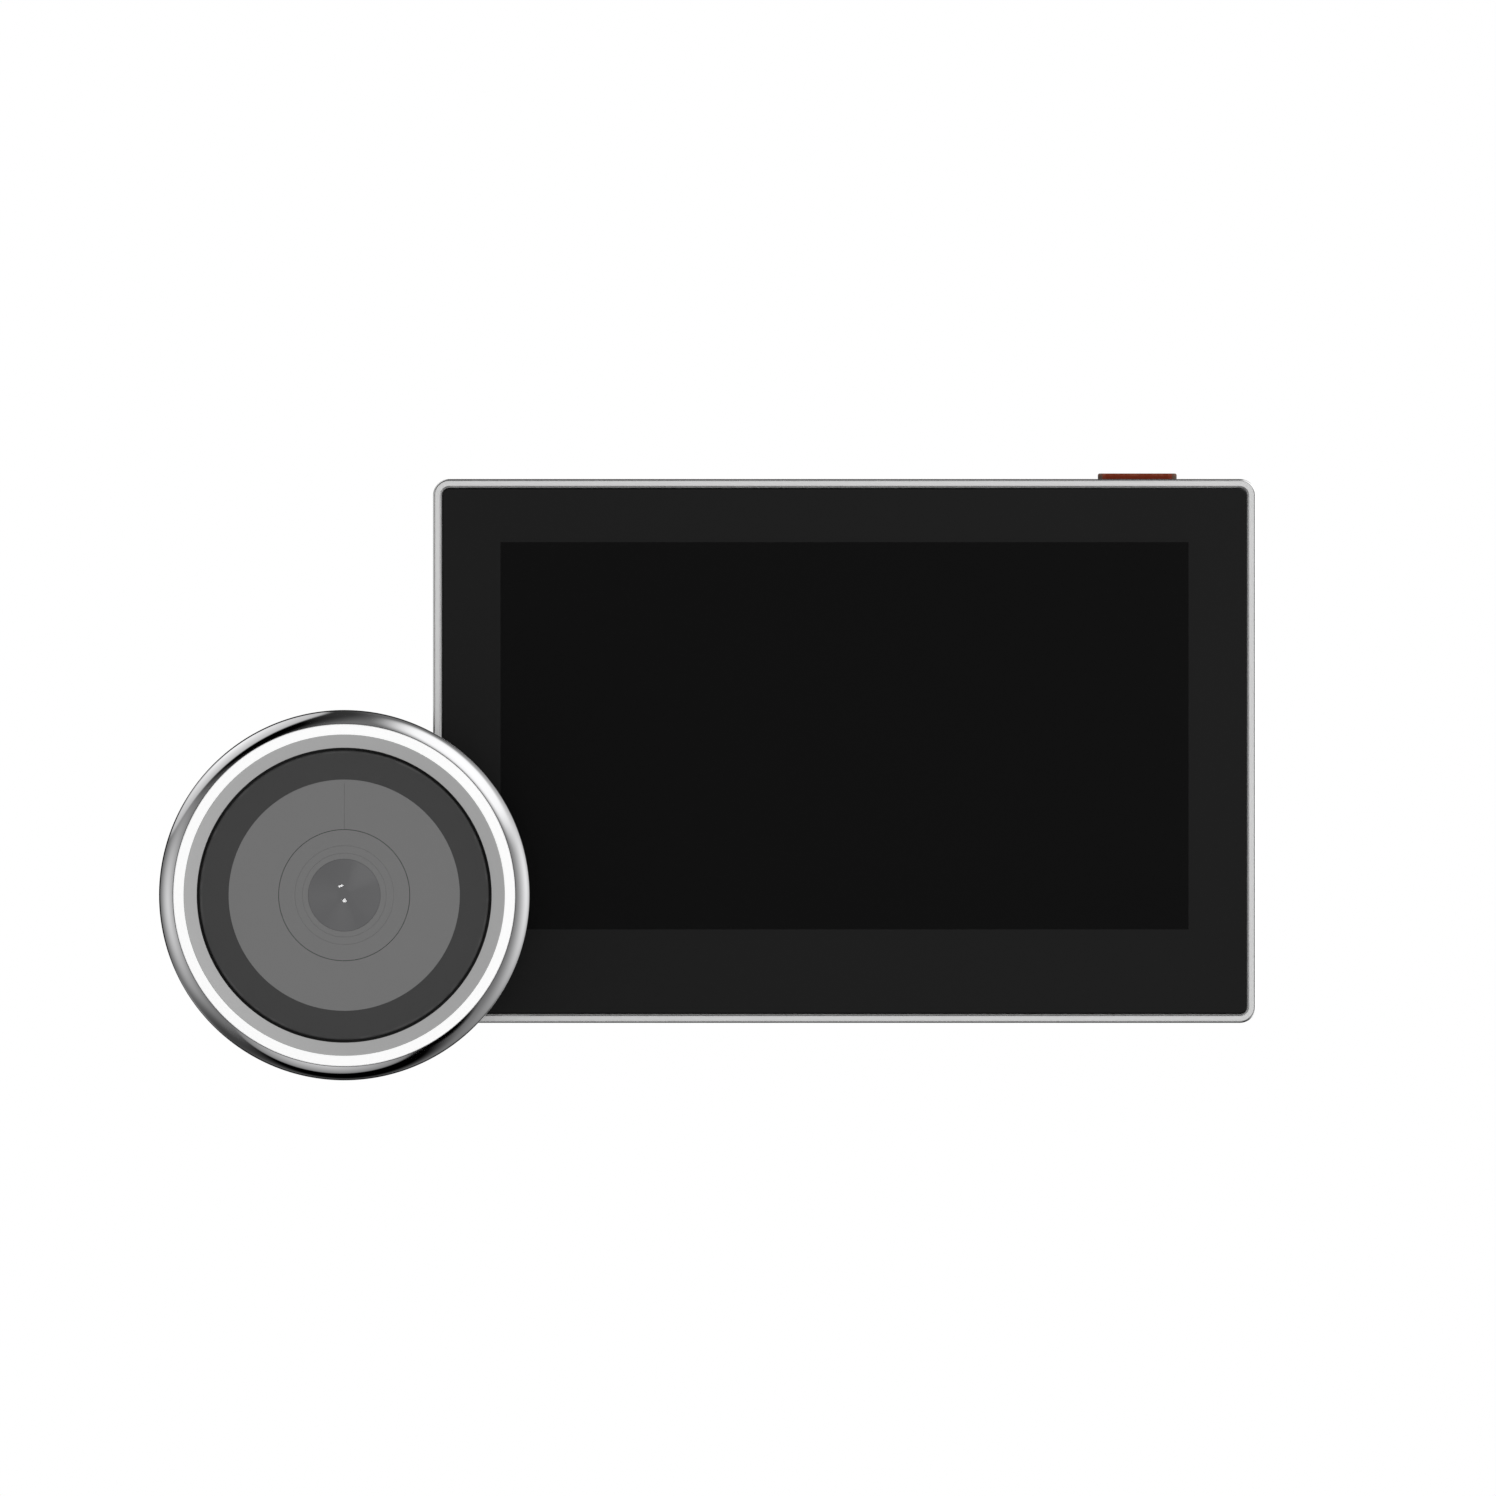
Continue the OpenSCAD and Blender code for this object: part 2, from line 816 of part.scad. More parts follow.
// Back shell with the cable pocket, hook slots, speaker holes and screw columns
module rear_cover() {
    cover_corner = max(unit_corner - cover_wall, least_corner);
    lip_w = inner_w - 2*lip_gap;
    lip_l = inner_h - 2*lip_gap;
    lip_root = cover_inner + join;
    pocket_depth = cover_back - pocket_floor;
    color([0.2, 0.21, 0.22])
        difference() {
            union() {
                difference() {
                    translate([0, cover_back, 0])
                        mirror([0, 1, 0])
                            soft_slab(0, cover_depth, unit_w, unit_h, unit_corner, cover_round);
                    sheet_at(cover_inner, cover_depth - cover_wall + join)
                        rounded_rect(unit_w - 2*cover_wall, unit_h - 2*cover_wall, cover_corner);
                }
                sheet_at(lip_root, lip_root - split_y + lip_h)
                    difference() {
                        rounded_rect(lip_w, lip_l, inner_corner - lip_gap);
                        square([lip_w - 2*lip_t, lip_l - 2*lip_t], center = true);
                    }
                sheet_at(lip_root, lip_root - pocket_floor + pocket_wall)
                    pocket_outline(pocket_wall);
                at_corners()
                    bar_at(lip_root, lip_root - split_y, column_r);
                at_board_posts()
                    bar_at(lip_root, lip_root - board_back, board_post_r);
                translate([speaker_x, 0, speaker_z])
                    turned_at(lip_root)
                        translate([speaker_r + seat_gap, 0])
                            square([speaker_rib, speaker_t/2 + join]);
            }
            sheet_at(cover_back + join, pocket_depth + join)
                pocket_outline(0);
            block(0, pocket_floor - pocket_wall - join, socket_z,
                socket_w + 2*slide_gap, pocket_wall + 2*join, socket_h + 2*slide_gap);
            at_hooks()
                block(0, cover_inner - join, slot_top - slot_h/2, slot_w, cover_wall + 2*join, slot_h);
            at_corners() {
                bar_at(cover_back + join, cover_depth + 2*join, screw_hole_r);
                bar_at(cover_back + join, head_hole_depth + join, head_hole_r);
            }
            at_board_posts()
                bar_at(board_back + cover_screw_grip + join, cover_screw_grip + 2*join, pilot_r);
            speaker_holes();
        }
}

// Corner screws of the rear cover
module cover_screws() {
    screw_len = cover_depth - head_hole_depth + seat_gap + cover_screw_grip - slide_gap;
    color("gainsboro")
        at_corners()
            screw_at(cover_back - head_hole_depth, screw_len, 1);
}

// Cup that carries the works of the outdoor unit
module head_housing() {
    color([0.25, 0.26, 0.27])
        at_head()
            difference() {
                union() {
                    difference() {
                        bar_at(head_base, rim_h, housing_r);
                        bar_at(head_base - floor_t, rim_h, housing_in);
                    }
                    round_head(head_screw_angles, head_screw_place_r)
                        bar_at(head_base - floor_t + join, post_h + join, head_post_r);
                }
                bar_at(head_base + join, floor_t + 2*join, stem_neck_r + press_gap);
                round_head(head_screw_angles, head_screw_place_r)
                    bar_at(head_base - floor_t, post_h + join, pilot_r);
            }
}

// Polished shell whose front edge is a full round
module head_bezel() {
    arc_h = crest_h - chrome_w;
    color("gainsboro")
        at_head()
            turned_at(head_base)
                difference() {
                    union() {
                        translate([crest_r, 0])
                            square([chrome_w, arc_h]);
                        intersection() {
                            translate([crest_r, arc_h])
                                circle(chrome_w);
                            translate([crest_r, arc_h])
                                square(chrome_w);
                        }
                    }
                    translate([0, -join])
                        square([bore_r, bezel_lip_h + join]);
                }
}

// White ring that spreads the light of the small lamps behind it
module light_ring() {
    color("white")
        at_head()
            turned_at(head_base)
                difference() {
                    union() {
                        translate([light_in + press_gap, bevel_back_h])
                            square([light_w - press_gap - fit_gap, crest_h - fit_gap - bevel_back_h]);
                        translate([light_in + press_gap, bevel_back_h])
                            square([bore_r - seat_gap - light_in - press_gap, bezel_lip_h - fit_gap - bevel_back_h]);
                    }
                    translate([led_r - led_groove_w/2, bevel_back_h - join])
                        square([led_groove_w, led_groove_h + join]);
                }
}

// Satin ring that slopes in to the bell push
module bevel_ring() {
    color("darkgray")
        at_head()
            turned_at(head_base)
                polygon([
                    [bevel_in, bevel_back_h], [light_in, bevel_back_h],
                    [light_in, crest_h - fit_gap], [bevel_in, crest_h - bevel_drop]
                ]);
}

// Ring board under the white ring
module led_board() {
    color("darkgreen")
        at_head()
            head_ring(housing_in, housing_r, rim_h, bevel_back_h);
}

// Small lamps on the ring board
module ring_leds() {
    color("lightyellow")
        at_head()
            for (i = [0 : led_count - 1])
                rotate([0, i*360/led_count, 0])
                    block(led_r, head_base - bevel_back_h - led_t, 0, led_d, led_t, led_w);
}

// Dark ring of the bell push, with the flange that keeps it in
module bell_ring() {
    seat_in = plate_r - bell_seat_w;
    color([0.25, 0.25, 0.25])
        at_head()
            turned_at(head_base)
                polygon([
                    [seat_in, flange_bottom_h], [flange_r, flange_bottom_h], [flange_r, flange_top_h],
                    [face_r, flange_top_h], [face_r, face_h - bell_chamfer], [face_r - bell_chamfer, face_h],
                    [plate_r, face_h], [plate_r, seat_h], [seat_in, seat_h]
                ]);
}

// Grey disc of the bell push, round the lens hub, with a short upright line cut in it
module face_plate() {
    line_low = hub_r + hub_gap;
    line_high = plate_r - 0.6;
    color([0.43, 0.43, 0.43])
        at_head()
            difference() {
                head_ring(hub_r + hub_gap, plate_r - press_gap, seat_h, face_h);
                block(0, head_base - face_h - join, (line_low + line_high)/2,
                    line_w, line_depth + join, line_high - line_low);
            }
}

// Plunger that the bell push carries
module bell_plunger() {
    plunger_base_h = board_top_h + bell_switch_t - bell_plunger_in;
    color("white")
        at_head()
            translate([0, 0, bell_switch_z])
                bar_at(head_base - plunger_base_h, seat_h - plunger_base_h, bell_plunger_r);
}

// Switch under the bell push
module bell_switch() {
    well = bell_plunger_in + bell_travel + seat_gap;
    color("black")
        at_head()
            translate([0, head_base - board_top_h, bell_switch_z])
                difference() {
                    block(0, -bell_switch_t, 0, bell_switch_w, bell_switch_t, bell_switch_w);
                    bar_at(well - bell_switch_t, well + join, bell_plunger_r + wake_gap);
                }
}

// Points round the wire of a coil at one step along it
function coil_ring(i, steps, rise) =
    let (turn = 360*spring_turns*i/steps, high = spring_wire_r + rise*i/steps)
    [for (k = [0 : spring_sides - 1])
        let (a = 360*k/spring_sides, r = spring_r + spring_wire_r*cos(a))
        [r*cos(turn), r*sin(turn), high + spring_wire_r*sin(a)]];

// Coil spring that stands on its own base
module coil_spring() {
    steps = spring_turns*spring_rings;
    n = spring_sides;
    points = [for (i = [0 : steps]) each coil_ring(i, steps, spring_h - 2*spring_wire_r)];
    walls = [for (i = [0 : steps - 1], k = [0 : n - 1], half = [0, 1])
        let (a = i*n + k, b = i*n + (k + 1)%n)
        half == 0 ? [a, b, b + n] : [a, b + n, a + n]];
    caps = [for (k = [1 : n - 2], far = [0, 1])
        far == 0 ? [0, k + 1, k] : [steps*n, steps*n + k, steps*n + k + 1]];
    polyhedron(points = points, faces = concat(walls, caps), convexity = 8);
}

// Return springs of the bell push
module bell_springs() {
    color("gray")
        at_head()
            round_head(spring_angles, spring_place_r)
                translate([0, head_base - board_top_h, 0])
                    rotate([90, 0, 0])
                        coil_spring();
}

// Grey hub round the lens, with two fine circles cut in its face
module lens_hub() {
    color([0.43, 0.43, 0.43])
        at_head()
            difference() {
                union() {
                    head_ring(lens_r + fit_gap, hub_r, hub_back_h, face_h);
                    head_ring(holder_r + fit_gap, hub_r - fit_gap, hub_back_h - skirt_h, hub_back_h + join);
                }
                for (r = hub_line_r)
                    head_ring(r - line_w/2, r + line_w/2, face_h - line_depth, face_h + join);
            }
}

// Domed front lens
module front_lens() {
    color([0.36, 0.37, 0.38])
        at_head()
            turned_at(head_base) {
                translate([0, hub_back_h])
                    square([lens_r, lens_edge_h - hub_back_h]);
                intersection() {
                    translate([0, lens_edge_h + lens_rise - dome_r])
                        circle(dome_r, $fn = 2*$fn);
                    translate([0, lens_edge_h - join])
                        square([lens_r, lens_rise + 2*join]);
                }
            }
}

// Barrel behind the front lens
module lens_barrel() {
    color("black")
        at_head()
            head_ring(barrel_bore_r, barrel_r, barrel_base_h, hub_back_h);
}

// Lens inside the barrel
module rear_lens() {
    rear_h = (barrel_base_h + hub_back_h)/2;
    color("lightblue")
        at_head()
            head_ring(0, barrel_bore_r - press_gap, rear_h - rear_lens_t/2, rear_h + rear_lens_t/2);
}

// Holder that stands on the board and carries the barrel and the hub
module lens_holder() {
    color([0.12, 0.12, 0.12])
        at_head()
            head_ring(holder_r - holder_wall, holder_r, board_top_h, hub_back_h);
}

// Image sensor on the board
module image_sensor() {
    color("midnightblue")
        at_head()
            block(0, head_base - board_top_h - sensor_t, 0, sensor_w, sensor_t, sensor_w);
}

// Circuit board of the outdoor unit
module head_board() {
    color("darkgreen")
        at_head()
            difference() {
                bar_at(head_base - board_base_h, head_board_t, housing_in - slide_gap);
                round_head(head_screw_angles, head_screw_place_r)
                    bar_at(head_base - board_base_h + join, head_board_t + 2*join, screw_hole_r);
            }
}

// Screws of that board
module head_screws() {
    color("gainsboro")
        at_head()
            round_head(head_screw_angles, head_screw_place_r)
                screw_at(head_base - board_top_h, head_board_t + post_h - slide_gap, -1);
}

// Rubber ring that seals against the outside of the door
module door_gasket() {
    color([0.1, 0.1, 0.1])
        at_head()
            sheet_at(head_back, gasket_t)
                difference() {
                    circle(head_r - gasket_in);
                    circle(stem_neck_r + gasket_in);
                }
}

// Hollow stem that goes through the door
module stem() {
    stem_top = head_base - floor_t - stem_flange_t;
    color("lightgray")
        at_head()
            difference() {
                union() {
                    bar_at(stem_end, stem_end - stem_top, stem_r);
                    bar_at(head_back, head_back - stem_top, stem_neck_r);
                    bar_at(head_base - floor_t, stem_flange_t, stem_flange_r);
                }
                bar_at(stem_end + join, stem_end - stem_top + 2*join, stem_r - stem_wall);
            }
}

// Rubber plug in the stem's end, slotted for the flat lead
module cable_grommet() {
    color([0.12, 0.12, 0.12])
        at_head()
            sheet_at(stem_end, grommet_t)
                difference() {
                    circle(stem_r - stem_wall - press_gap);
                    square([grommet_slot_w, grommet_slot_t], center = true);
                }
}

bracket_plate();
door_pad();
sleeve_nut();
nut_retainer();
front_frame();
cover_glass();
glass_tape();
lcd_panel();
lcd_flex();
main_board();
shield_can();
board_screws();
battery_pack();
speaker();
microphone();
mic_boot();
usb_socket();
camera_socket();
wake_button();
wake_plunger();
wake_switch();
rear_cover();
cover_screws();
head_housing();
head_bezel();
light_ring();
bevel_ring();
led_board();
ring_leds();
bell_ring();
face_plate();
bell_plunger();
bell_switch();
bell_springs();
lens_hub();
front_lens();
lens_barrel();
rear_lens();
lens_holder();
image_sensor();
head_board();
head_screws();
door_gasket();
stem();
cable_grommet();
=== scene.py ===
"""Peephole door camera: detailed pieces, finishes and a plain studio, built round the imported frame."""

import json
import math
from types import SimpleNamespace

import bmesh
import bpy
from bpy.props import FloatProperty, FloatVectorProperty, PointerProperty
from bpy.types import Operator, Panel, PropertyGroup
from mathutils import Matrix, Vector
from mathutils.geometry import delaunay_2d_cdt

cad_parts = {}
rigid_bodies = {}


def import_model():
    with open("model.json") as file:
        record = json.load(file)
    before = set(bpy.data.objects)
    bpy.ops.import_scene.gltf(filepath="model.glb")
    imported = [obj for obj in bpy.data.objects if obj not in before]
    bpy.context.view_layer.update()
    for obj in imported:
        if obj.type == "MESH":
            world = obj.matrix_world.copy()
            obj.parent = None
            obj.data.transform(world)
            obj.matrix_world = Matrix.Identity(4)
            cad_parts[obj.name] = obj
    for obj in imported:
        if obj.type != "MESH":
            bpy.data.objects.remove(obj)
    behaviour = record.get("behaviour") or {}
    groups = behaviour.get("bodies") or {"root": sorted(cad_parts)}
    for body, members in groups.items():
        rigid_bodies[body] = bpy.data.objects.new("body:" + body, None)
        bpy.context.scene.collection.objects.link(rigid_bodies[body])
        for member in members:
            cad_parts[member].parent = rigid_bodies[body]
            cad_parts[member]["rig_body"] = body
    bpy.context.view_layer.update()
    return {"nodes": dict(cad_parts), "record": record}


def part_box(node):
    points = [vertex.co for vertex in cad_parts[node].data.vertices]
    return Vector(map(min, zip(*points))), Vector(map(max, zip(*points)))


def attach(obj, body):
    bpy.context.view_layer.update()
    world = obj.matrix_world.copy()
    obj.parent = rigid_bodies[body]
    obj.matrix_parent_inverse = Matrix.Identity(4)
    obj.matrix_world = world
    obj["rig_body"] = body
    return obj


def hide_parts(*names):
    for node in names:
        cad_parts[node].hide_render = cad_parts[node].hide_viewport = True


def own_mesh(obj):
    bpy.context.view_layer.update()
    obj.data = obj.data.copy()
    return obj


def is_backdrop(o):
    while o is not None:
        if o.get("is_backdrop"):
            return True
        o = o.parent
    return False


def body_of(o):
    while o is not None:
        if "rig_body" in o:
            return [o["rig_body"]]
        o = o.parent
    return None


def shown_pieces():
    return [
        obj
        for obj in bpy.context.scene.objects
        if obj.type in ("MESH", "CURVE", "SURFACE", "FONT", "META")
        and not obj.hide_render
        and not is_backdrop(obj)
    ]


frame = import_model()

bl_info = {
    "name": "Peephole Door Camera",
    "version": (1, 0, 0),
    "blender": (4, 5, 0),
    "location": "View3D > Sidebar > Door Camera",
    "description": "Builds the looks of a peephole door camera round its packed frame",
    "category": "Object",
}

MM = 0.001
FULL_TURN = 2 * math.pi
QUARTER_TURN = math.pi / 2
ORIGIN = (0.0, 0.0)
CORNERS = ((-1, -1), (-1, 1), (1, -1), (1, 1))
FINE_SIDES = 256
PLAIN_SIDES = 128
CORNER_STEPS = 14
GREY = (0.5, 0.5, 0.5, 1.0)
WHITE = (1.0, 1.0, 1.0, 1.0)

RECORD = frame["record"]
BODY_OF = {node: body for body, nodes in RECORD["behaviour"]["bodies"].items() for node in nodes}
SLOT_OF = {part["node"]: part["material_slot"] for part in RECORD["subparts"]}
CLASS_OF = {entry["slot"]: entry["class"] for entry in RECORD["materials"]}
SLOT_COLOUR = {entry["slot"]: (*entry["base_color"][:3], 1.0) for entry in RECORD["materials"]}


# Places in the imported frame, in millimetres

def box_mm(node):
    """Lowest and highest corner of a CAD node."""
    low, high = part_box(node)
    return low / MM, high / MM


def middle(node):
    low, high = box_mm(node)
    return (low + high) / 2


def span(node):
    low, high = box_mm(node)
    return high - low


def radius_mm(node):
    """Outer radius of a round CAD node that lies across Y."""
    return span(node).x / 2


UNIT_LOW, UNIT_HIGH = box_mm("front_frame")
HEAD_X, HEAD_Z = middle("head_bezel").xz
HEAD_CENTRE = (HEAD_X, HEAD_Z)
HEAD_FRONT, HEAD_BASE = (corner.y for corner in box_mm("head_bezel"))
CREST = HEAD_BASE - HEAD_FRONT

# Sizes that more than one piece follows
PLATE_THICK = 1.6
HOOK_X, HOOK_Z = 23.25, 23.0
HOOK_WIDTH, HOOK_RISE = 8.0, 6.0
KEY_FOOT = 0.5
SCREW_HEAD = 1.8
RING_PLAY = 0.05
LINE_DEPTH = 0.05


# Settings that a user would change

def linear(*screen):
    """Linear colour, with full alpha, of an 8-bit screen colour."""
    shares = [value / 255 for value in screen]
    return (*(v / 12.92 if v <= 0.04045 else ((v + 0.055) / 1.055) ** 2.4 for v in shares), 1.0)


def length(name, description, millimetres):
    return FloatProperty(
        name=name, description=description, default=millimetres * MM, unit="LENGTH", precision=5
    )


def power(name, description, watts):
    return FloatProperty(name=name, description=description, default=watts, unit="POWER")


def colour(name, description, value):
    return FloatVectorProperty(
        name=name, description=description, default=value[:3], subtype="COLOR", size=3, min=0.0, max=1.0
    )


class DoorCameraSizes(PropertyGroup):
    """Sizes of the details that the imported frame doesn't give."""

    corner: length("Corner", "Outer corner radius of the screen unit", 2.6)
    rim: length("Rim", "Width of the bright rim round the glass", 1.25)
    rim_fillet: length("Rim fillet", "Rounding of the rim's front edge", 0.22)
    seam: length("Seam", "Rounding where the frame meets the back shell", 0.22)
    glass_corner: length("Glass corner", "Corner radius of the glass", 1.2)
    window_width: length("Window width", "Width of the screen window", 110.7)
    window_height: length("Window height", "Height of the screen window", 62.3)
    window_rise: length("Window rise", "How far the window's middle is above the unit's", 2.45)
    key_width: length("Key width", "Width of the red key", 3.0)
    key_fillet: length("Key fillet", "Rounding of the red key's top edge", 0.3)
    # Length of the painted shade on each end of the red key
    key_shaded_end: length("Key end", "Length of the dark ends of the red key", 0.75)
    back_round: length("Back round", "Rounding of the back shell's edge", 2.4)
    shell: length("Shell", "Wall of the back shell", 1.8)
    chrome_round: length("Chrome round", "Radius of the polished round", 2.25)
    light_width: length("Light width", "Width of the white ring", 1.73)
    bevel_width: length("Bevel width", "Width of the sloping ring", 2.09)
    bevel_drop: length("Bevel drop", "Drop of the sloping ring", 1.3)
    bell_gap: length("Bell gap", "Gap round the bell push", 0.45)
    hub_gap: length("Hub gap", "Gap between the bell push and the lens hub", 0.08)
    line_width: length("Line width", "Width of the fine lines in the face", 0.15)
    thread_pitch: length("Thread pitch", "Pitch of the stem's thread", 1.5)
    thread_depth: length("Thread depth", "Depth of the stem's thread", 0.5)


class DoorCameraColours(PropertyGroup):
    """Colours of the finishes that show most."""

    rim: colour("Rim", "Satin metal of the frame", (0.80, 0.80, 0.80))
    glass_border: colour("Glass border", "Printed border under the glass", linear(33, 33, 33))
    glass_window: colour("Glass window", "Screen that is switched off", linear(19, 19, 19))
    key: colour("Key", "Red lacquer of the key", linear(119, 37, 4))
    # Colour of the painted shade on the red key's ends
    key_shaded_end: colour("Key ends", "Dark ends of the key", linear(88, 66, 52))
    cover: colour("Back shell", "Charcoal plastic", linear(48, 49, 51))
    chrome: colour("Chrome", "Polished shell of the outdoor unit", (0.86, 0.86, 0.87))
    light: colour("Light ring", "White diffuser", linear(244, 244, 244))
    bevel: colour("Bevel", "Satin metal of the sloping ring", (0.47, 0.47, 0.47))
    bell: colour("Bell ring", "Dark ring of the bell push", linear(59, 59, 59))
    face: colour("Face", "Grey disc of the bell push", linear(116, 116, 116))
    lens: colour("Lens", "Coated glass of the lens", linear(101, 101, 102))
    rubber: colour("Rubber", "Gasket and grommet", linear(30, 30, 31))


class DoorCameraStudio(PropertyGroup):
    """Camera and light."""

    view_width: length("View width", "Width of the camera's view", 240.7)
    view_x: length("View X", "Middle of the view across", -15.53)
    view_z: length("View Z", "Middle of the view in height", 0.48)
    floor_z: length("Floor", "Height of the floor", -130.0)
    fill: FloatProperty(name="Fill", description="Level of the soft light from all sides", default=0.7)
    key_power: power("Key power", "Power of the main lamp", 2.4)
    top_power: power("Top power", "Power of the lamp above", 1.2)
    rear_power: power("Rear power", "Power of the lamp behind", 1.2)


def settings(context):
    """The sizes in millimetres and the colours with full alpha, as the panel has them."""
    scene, s, c = context.scene, SimpleNamespace(), SimpleNamespace()
    for key in DoorCameraSizes.__annotations__:
        setattr(s, key, getattr(scene.doorcam_sizes, key) / MM)
    for key in DoorCameraColours.__annotations__:
        setattr(c, key, (*getattr(scene.doorcam_colours, key), 1.0))
    return s, c


# Outlines, each a function that gives its points grown by a distance

def on_circle(centre, radius, angle):
    return centre[0] + radius * math.cos(angle), centre[1] + radius * math.sin(angle)


def arc(centre, radius, first, last, steps):
    """Points of an arc with both its ends."""
    return [on_circle(centre, radius, first + (last - first) * k / steps) for k in range(steps + 1)]


def rect_outline(width, height, radius, centre=ORIGIN, steps=CORNER_STEPS, least=0.05):
    def outline(grow=0.0):
        r = max(radius + grow, least)
        half_w, half_h = width / 2 + grow - r, height / 2 + grow - r
        points = []
        for quarter, (su, sv) in enumerate(((1, 1), (-1, 1), (-1, -1), (1, -1))):
            corner = (centre[0] + su * half_w, centre[1] + sv * half_h)
            points += arc(corner, r, quarter * QUARTER_TURN, (quarter + 1) * QUARTER_TURN, steps)
        return points
    return outline


def pill_outline(long, width, centre=ORIGIN, steps=20):
    def outline(grow=0.0):
        r, half = width / 2 + grow, (long - width) / 2
        right, left = ((centre[0] + side * half, centre[1]) for side in (1, -1))
        return (arc(right, r, -QUARTER_TURN, QUARTER_TURN, steps)
                + arc(left, r, QUARTER_TURN, 3 * QUARTER_TURN, steps))
    return outline


def circle_outline(radius, centre=ORIGIN, count=PLAIN_SIDES):
    def outline(grow=0.0):
        return arc(centre, radius + grow, 0.0, FULL_TURN, count)[:-1]
    return outline


def scallop_outline(radius, cut_radius, cuts, per_cut=24):
    """Circle with round flutes cut into its edge."""
    def outline(grow=0.0):
        points, place, flute = [], radius + cut_radius / 2, cut_radius - grow
        for k in range(cuts * per_cut):
            angle = FULL_TURN * k / (cuts * per_cut)
            off = (angle + math.pi / cuts) % (FULL_TURN / cuts) - math.pi / cuts
            reach, side = radius + grow, place * math.sin(off)
            if abs(side) < flute:
                reach = min(reach, place * math.cos(off) - math.sqrt(flute * flute - side * side))
            points.append(on_circle(ORIGIN, reach, angle))
        return points
    return outline


def cross_outline(arm, width, centre):
    """Plus sign of a cross recess."""
    def outline(grow=0.0):
        a, w = arm + grow, width / 2 + grow
        corners = ((a, -w), (a, w), (w, w), (w, a), (-w, a), (-w, w),
                   (-a, w), (-a, -w), (-w, -w), (-w, -a), (w, -a), (w, -w))
        return [(centre[0] + u, centre[1] + v) for u, v in corners]
    return outline


def soften(points, steps=6):
    """Rounds the corners of a profile of (a, b, radius).

    Gives (a, b, rub), where rub marks the small rounds, which wear, and a point close to each round
    keeps the flat beside it flat."""
    small_round, least_room, flat_reach, flat_share = 0.5, 0.02, 0.2, 0.4
    count = len(points)
    spots = [Vector(point[:2]) for point in points]
    radii = [point[2] if len(point) > 2 else 0.0 for point in points]
    halves, reach = [0.0] * count, [0.0] * count
    for i in range(count):
        if radii[i]:
            halves[i] = (spots[i - 1] - spots[i]).angle(spots[(i + 1) % count] - spots[i]) / 2
            reach[i] = radii[i] / math.tan(halves[i])
    made = []
    for i, here in enumerate(spots):
        if not radii[i]:
            made.append((*here, 0.0))
            continue
        before, after = spots[i - 1] - here, spots[(i + 1) % count] - here
        room_before = before.length - reach[i] - reach[i - 1]
        room_after = after.length - reach[i] - reach[(i + 1) % count]
        before.normalize()
        after.normalize()
        centre = here + (before + after).normalized() * (radii[i] / math.sin(halves[i]))
        start, end = here + before * reach[i], here + after * reach[i]
        first = math.atan2(start.y - centre.y, start.x - centre.x)
        swing = (math.atan2(end.y - centre.y, end.x - centre.x) - first + math.pi) % FULL_TURN - math.pi
        rub = 1.0 if radii[i] < small_round else 0.0
        if room_before > least_room:
            made.append((*(start + before * min(flat_reach, room_before * flat_share)), 0.0))
        made += [(*spot, rub) for spot in arc(centre, radii[i], first, first + swing, steps)]
        if room_after > least_room:
            made.append((*(end + after * min(flat_reach, room_after * flat_share)), 0.0))
    return made


# Mesh building

def facing(u, v, level):
    """Outline in X and Z, level along Y."""
    return u, level, v


def upright(u, v, level):
    """Outline in X and Y, level along Z."""
    return u, v, level


def holds(outline, spot):
    """Whether a spot lies inside an outline."""
    inside = False
    for i, far in enumerate(outline):
        near = outline[i - 1]
        if (near.y > spot.y) != (far.y > spot.y):
            if spot.x < near.x + (far.x - near.x) * (spot.y - near.y) / (far.y - near.y):
                inside = not inside
    return inside


def linked(name, data):
    made = bpy.data.objects.new(name, data)
    bpy.context.scene.collection.objects.link(made)
    return made


def hide_from(piece, *rays):
    for ray in rays:
        setattr(piece, "visible_" + ray, False)


def mesh_object(name, bm):
    mesh = bpy.data.meshes.new(name)
    bm.to_mesh(mesh)
    bm.free()
    return linked(name, mesh)


